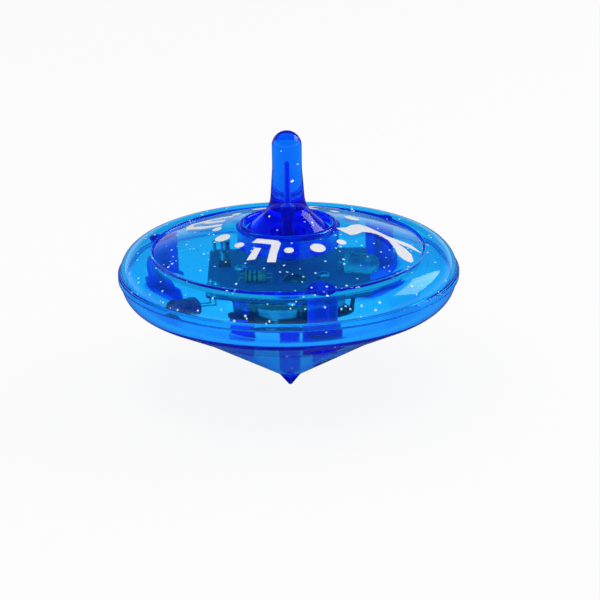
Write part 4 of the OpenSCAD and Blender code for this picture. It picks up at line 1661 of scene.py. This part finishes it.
@dataclass
class Works:
    """The circuit, cells, lamps and switch, whose solids keep their shapes and get their finishes."""

    finishes: dict[Finishes, str] = field(default_factory=lambda: {
        Finishes.STEEL: "stem_washer stem_screw case_screws board_screws tray_screw switch_weight",
        Finishes.BOARD: "circuit_board",
        Finishes.EPOXY: "flasher_chip",
        Finishes.RESISTOR: "resistor_1 resistor_2",
        Finishes.TRAY: "battery_tray switch_base",
        Finishes.CELL: "button_cell_1 button_cell_2 button_cell_3",
        Finishes.STRAP: "cell_strap_1 cell_strap_2 cell_strap_3",
        Finishes.NICKEL: "contact_plate_1 contact_plate_2 contact_plate_3 switch_pin switch_arm",
        Finishes.LEAD_RED: "lead_positive",
        Finishes.LEAD_BLACK: "lead_negative",
        Finishes.LAMP_GREEN: "green_lamp",
        Finishes.LAMP_RED: "red_lamp",
        Finishes.WIRE: "green_lamp_wires red_lamp_wires",
    })
    board_under: float = 0.3
    board_top: float = 1.5
    green: Point = (-22.0, 14.5)
    red: Point = (213.8, 23.37)
    pitch: float = 2.54
    resistor_x: Span = (-12.8, -4.4)
    resistor_y: Span = (-12.8, -9.4)
    pin: Point = (-19.683, 11.547)
    joint_r: float = 0.95
    joint_drop: float = 0.62
    joint_gap: float = 0.02
    joint_l: float = 0.6

    def joint(self, x: float, y: float, up: float, tall: float) -> Surface:
        """Turn one solder joint as a hollow-sided cone, r = R - d sqrt(t).

        Args:
            x: Place on the board.
            y: Place on the board.
            up: Height of the board's face.
            tall: Height of the joint, negative where it hangs down.

        Returns:
            The closed joint.
        """
        t = np.linspace(0, 1, 9)
        r, gap = self.joint_r - self.joint_drop * np.sqrt(t), self.joint_gap
        side = np.column_stack([r, gap + t * abs(tall)])
        outline = np.vstack([[[0.0, gap]], side, [[0.0, abs(tall) + gap]]])
        cone = lathe(outline, turns=24, loop=False)
        if tall < 0:
            cone = Surface(cone.points * np.array([1.0, 1.0, -1.0]), [f[:, ::-1] for f in cone.faces])
        return cone.moved(x, y, up)

    def solder(self) -> Piece:
        """Make the solder joints round every wire in the board.

        Returns:
            All the joints as one piece.
        """
        below, above = (self.board_under, -self.joint_l), (self.board_top, self.joint_l)
        joints = [self.joint(x, y, *below) for x in self.resistor_x for y in self.resistor_y]
        joints.append(self.joint(*self.pin, *below))
        for (turn, reach), side in ((self.green, below), (self.red, above)):
            a = math.radians(turn)
            for s in (-0.5, 0.5):
                x = reach * math.cos(a) - s * self.pitch * math.sin(a)
                y = reach * math.sin(a) + s * self.pitch * math.cos(a)
                joints.append(self.joint(x, y, *side))
        piece = gather(joints).moved(up=PARTING).mesh("solder_joints")
        smooth(piece)
        return settle(piece, Finishes.SOLDER, "", Body.TOP)

    def build(self) -> list[Piece]:
        """Dress the solids and add the solder.

        Returns:
            The new pieces.
        """
        for finish, nodes in self.finishes.items():
            for node in nodes.split():
                Paint.solid(node, finish)
        return [self.solder()]


# Studio


@dataclass(frozen=True)
class Softbox:
    """A soft lamp over the floor.

    Attributes:
        name: Name of the lamp.
        place: Its place in millimetres.
        size: Width and height.
        power: Power in watts.
        mirrored: True where polished surfaces show the lamp itself.
    """

    name: str
    place: Trio
    size: tuple[float, float]
    power: float
    mirrored: bool

    def hang(self, aim: Vector) -> None:
        """Hang the lamp.

        Args:
            aim: Point that it faces, in metres.
        """
        data = bpy.data.lights.new(self.name, "AREA")
        data.shape, data.energy = "RECTANGLE", self.power
        data.size, data.size_y = self.size[0] * MM, self.size[1] * MM
        lamp = bpy.data.objects.new(self.name, data)
        bpy.context.scene.collection.objects.link(lamp)
        lamp.visible_glossy = self.mirrored
        lamp.location = Vector(self.place) * MM
        lamp.rotation_euler = (aim - lamp.location).to_track_quat("-Z", "Y").to_euler()


@dataclass
class Studio:
    """White floor, soft light and the camera of the reference view."""

    centre: Trio = (0.0, 0.0, PARTING)
    distance: float = 630.0
    elevation: float = 19.0
    lens_px: float = 2383.0
    frame_px: float = 600.0
    spot_px: Point = (289.1, 273.0)
    roll: float = 0.8
    sensor: float = 36.0
    clip: Span = (0.01, 30.0)
    floor_half: float = 4000.0
    floor_lines: int = 5
    floor_z: float = -0.15
    floor_grey: Colour = (0.7, 0.7, 0.7)
    floor_rough: float = 0.9
    glow: dict[str, float] = field(default_factory=lambda: {"Camera": 0.9, "Transmission": 0.9})
    floor_dim: float = 0.85
    dim: Span = (0.4, 0.94)
    ceiling: Span = (0.0, 0.32)
    through: Span = (1.0, 0.65)
    lamps: tuple[Softbox, ...] = (
        Softbox("key_softbox", (560.0, 250.0, 420.0), (520.0, 300.0), 1.3, True),
        Softbox("top_softbox", (-120.0, -260.0, 900.0), (700.0, 700.0), 3.4, False),
    )
    bounces: int = 26
    glossy_bounces: int = 10

    def floor(self) -> None:
        """Lay a flat pale floor that keeps soft shadows, P(i, j) on an even grid."""
        n = self.floor_lines
        line = np.linspace(-self.floor_half, self.floor_half, n)
        x, y = np.meshgrid(line, line, indexing="ij")
        points = np.stack([x, y, np.full_like(x, self.floor_z)], axis=-1).reshape(-1, 3)
        piece = Surface(points, [grid_faces(n, n, False, False)[:, ::-1]]).mesh("floor")
        bench = Bench("pale_floor")
        bench.set(Base_Color=(*self.floor_grey, 1.0), Roughness=self.floor_rough, Specular_IOR_Level=0.0)
        glow = bench.put("Emission", {"Color": WHITE}).outputs["Emission"]
        black = bench.put("Emission", {"Strength": 0.0}).outputs["Emission"]
        lit = bench.mix(self.seen(bench), bench.shader.outputs["BSDF"], glow)
        share = bench.math("MULTIPLY", bench.mirrored(), self.floor_dim)
        bench.link(bench.mix(share, lit, black), bench.output.inputs["Surface"])
        piece.data.materials.append(bench.material)

    def seen(self, bench: Bench) -> Socket:
        """Give the floor's glow for rays from the camera and through clear plastic, and none for the rest.

        Args:
            bench: The floor's material.

        Returns:
            The share of glow.
        """
        total: Socket | float = 0.0
        for kind, share in self.glow.items():
            total = bench.math("MULTIPLY_ADD", bench.ray(kind), share, total, clamp=True)
        return total

    def world(self) -> None:
        """Surround the dreidel with a white backdrop under a dimmer ceiling, by the height of a ray.

        The backdrop is white to the camera. A ray through the plastic sees 1 at the horizon and less
        above it, and what polished faces mirror is dimmed again, most at the ceiling.
        """
        world = bpy.data.worlds.new("white_room")
        world.use_nodes = True
        nodes = Nodes(world.node_tree)
        split = nodes.put("SeparateXYZ")
        nodes.link(nodes.put("TexCoord").outputs["Generated"], split.inputs["Vector"])
        through, dim = (
            nodes.stretch(split.outputs["Z"], self.ceiling, span, interpolation_type="SMOOTHSTEP")
            for span in (self.through, self.dim)
        )
        left = nodes.math("SUBTRACT", 1.0, nodes.math("MULTIPLY", nodes.mirrored(), dim))
        shown = nodes.math("MULTIPLY", through, left)
        back = nodes.tree.nodes["Background"]
        nodes.link(nodes.math("MAXIMUM", shown, nodes.ray("Camera")), back.inputs["Strength"])
        back.inputs["Color"].default_value = WHITE
        bpy.context.scene.world = world

    def camera(self) -> None:
        """Stand the camera where the reference view was taken, aimed to put the middle on its pixel."""
        e = math.radians(self.elevation)
        middle = Vector(self.centre) * MM
        back = Vector((0.0, -math.cos(e), math.sin(e)))
        up = Vector((0.0, math.sin(e), math.cos(e)))
        reach = self.distance * MM / self.lens_px
        right = (self.frame_px / 2 - self.spot_px[0]) * reach
        lower = (self.frame_px / 2 - self.spot_px[1]) * reach
        data = bpy.data.cameras.new("reference_view")
        data.sensor_width = self.sensor
        data.lens = self.lens_px / self.frame_px * data.sensor_width
        data.clip_start, data.clip_end = self.clip
        camera = bpy.data.objects.new("reference_view", data)
        bpy.context.scene.collection.objects.link(camera)
        camera.location = middle + back * self.distance * MM
        aim = middle + Vector((right, 0.0, 0.0)) - up * lower
        turn = (aim - camera.location).to_track_quat("-Z", "Y").to_matrix()
        camera.rotation_euler = (turn @ Matrix.Rotation(math.radians(-self.roll), 3, "Z")).to_euler()
        bpy.context.scene.camera = camera

    def build(self) -> None:
        """Set the stage, and let light pass through the many walls of clear plastic."""
        self.floor()
        self.world()
        for lamp in self.lamps:
            lamp.hang(Vector(self.centre) * MM)
        self.camera()
        scene = bpy.context.scene
        scene.view_settings.view_transform = "Standard"
        scene.cycles.max_bounces = self.bounces
        scene.cycles.transmission_bounces = self.bounces
        scene.cycles.glossy_bounces = self.glossy_bounces


def corners(box: tuple[Vector, Vector]) -> list[list[float]]:
    """Give a box's two corners as plain numbers."""
    return [list(map(float, corner)) for corner in box]


def main() -> None:
    """Build the dreidel's pieces in order, dress them, and set the stage."""
    logging.basicConfig(level=logging.INFO, format="%(name)s %(message)s")
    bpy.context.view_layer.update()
    upper, lower, stem = UpperShell(), LowerShell(), FingerStem()
    upper.build()
    lower.build()
    stem.build()
    SpinningTip().build()
    Glitter(upper, lower, stem).build()
    PanelPrint(upper.roof).build()
    Works().build()
    Studio().build()


if __name__ == "__main__":
    main()
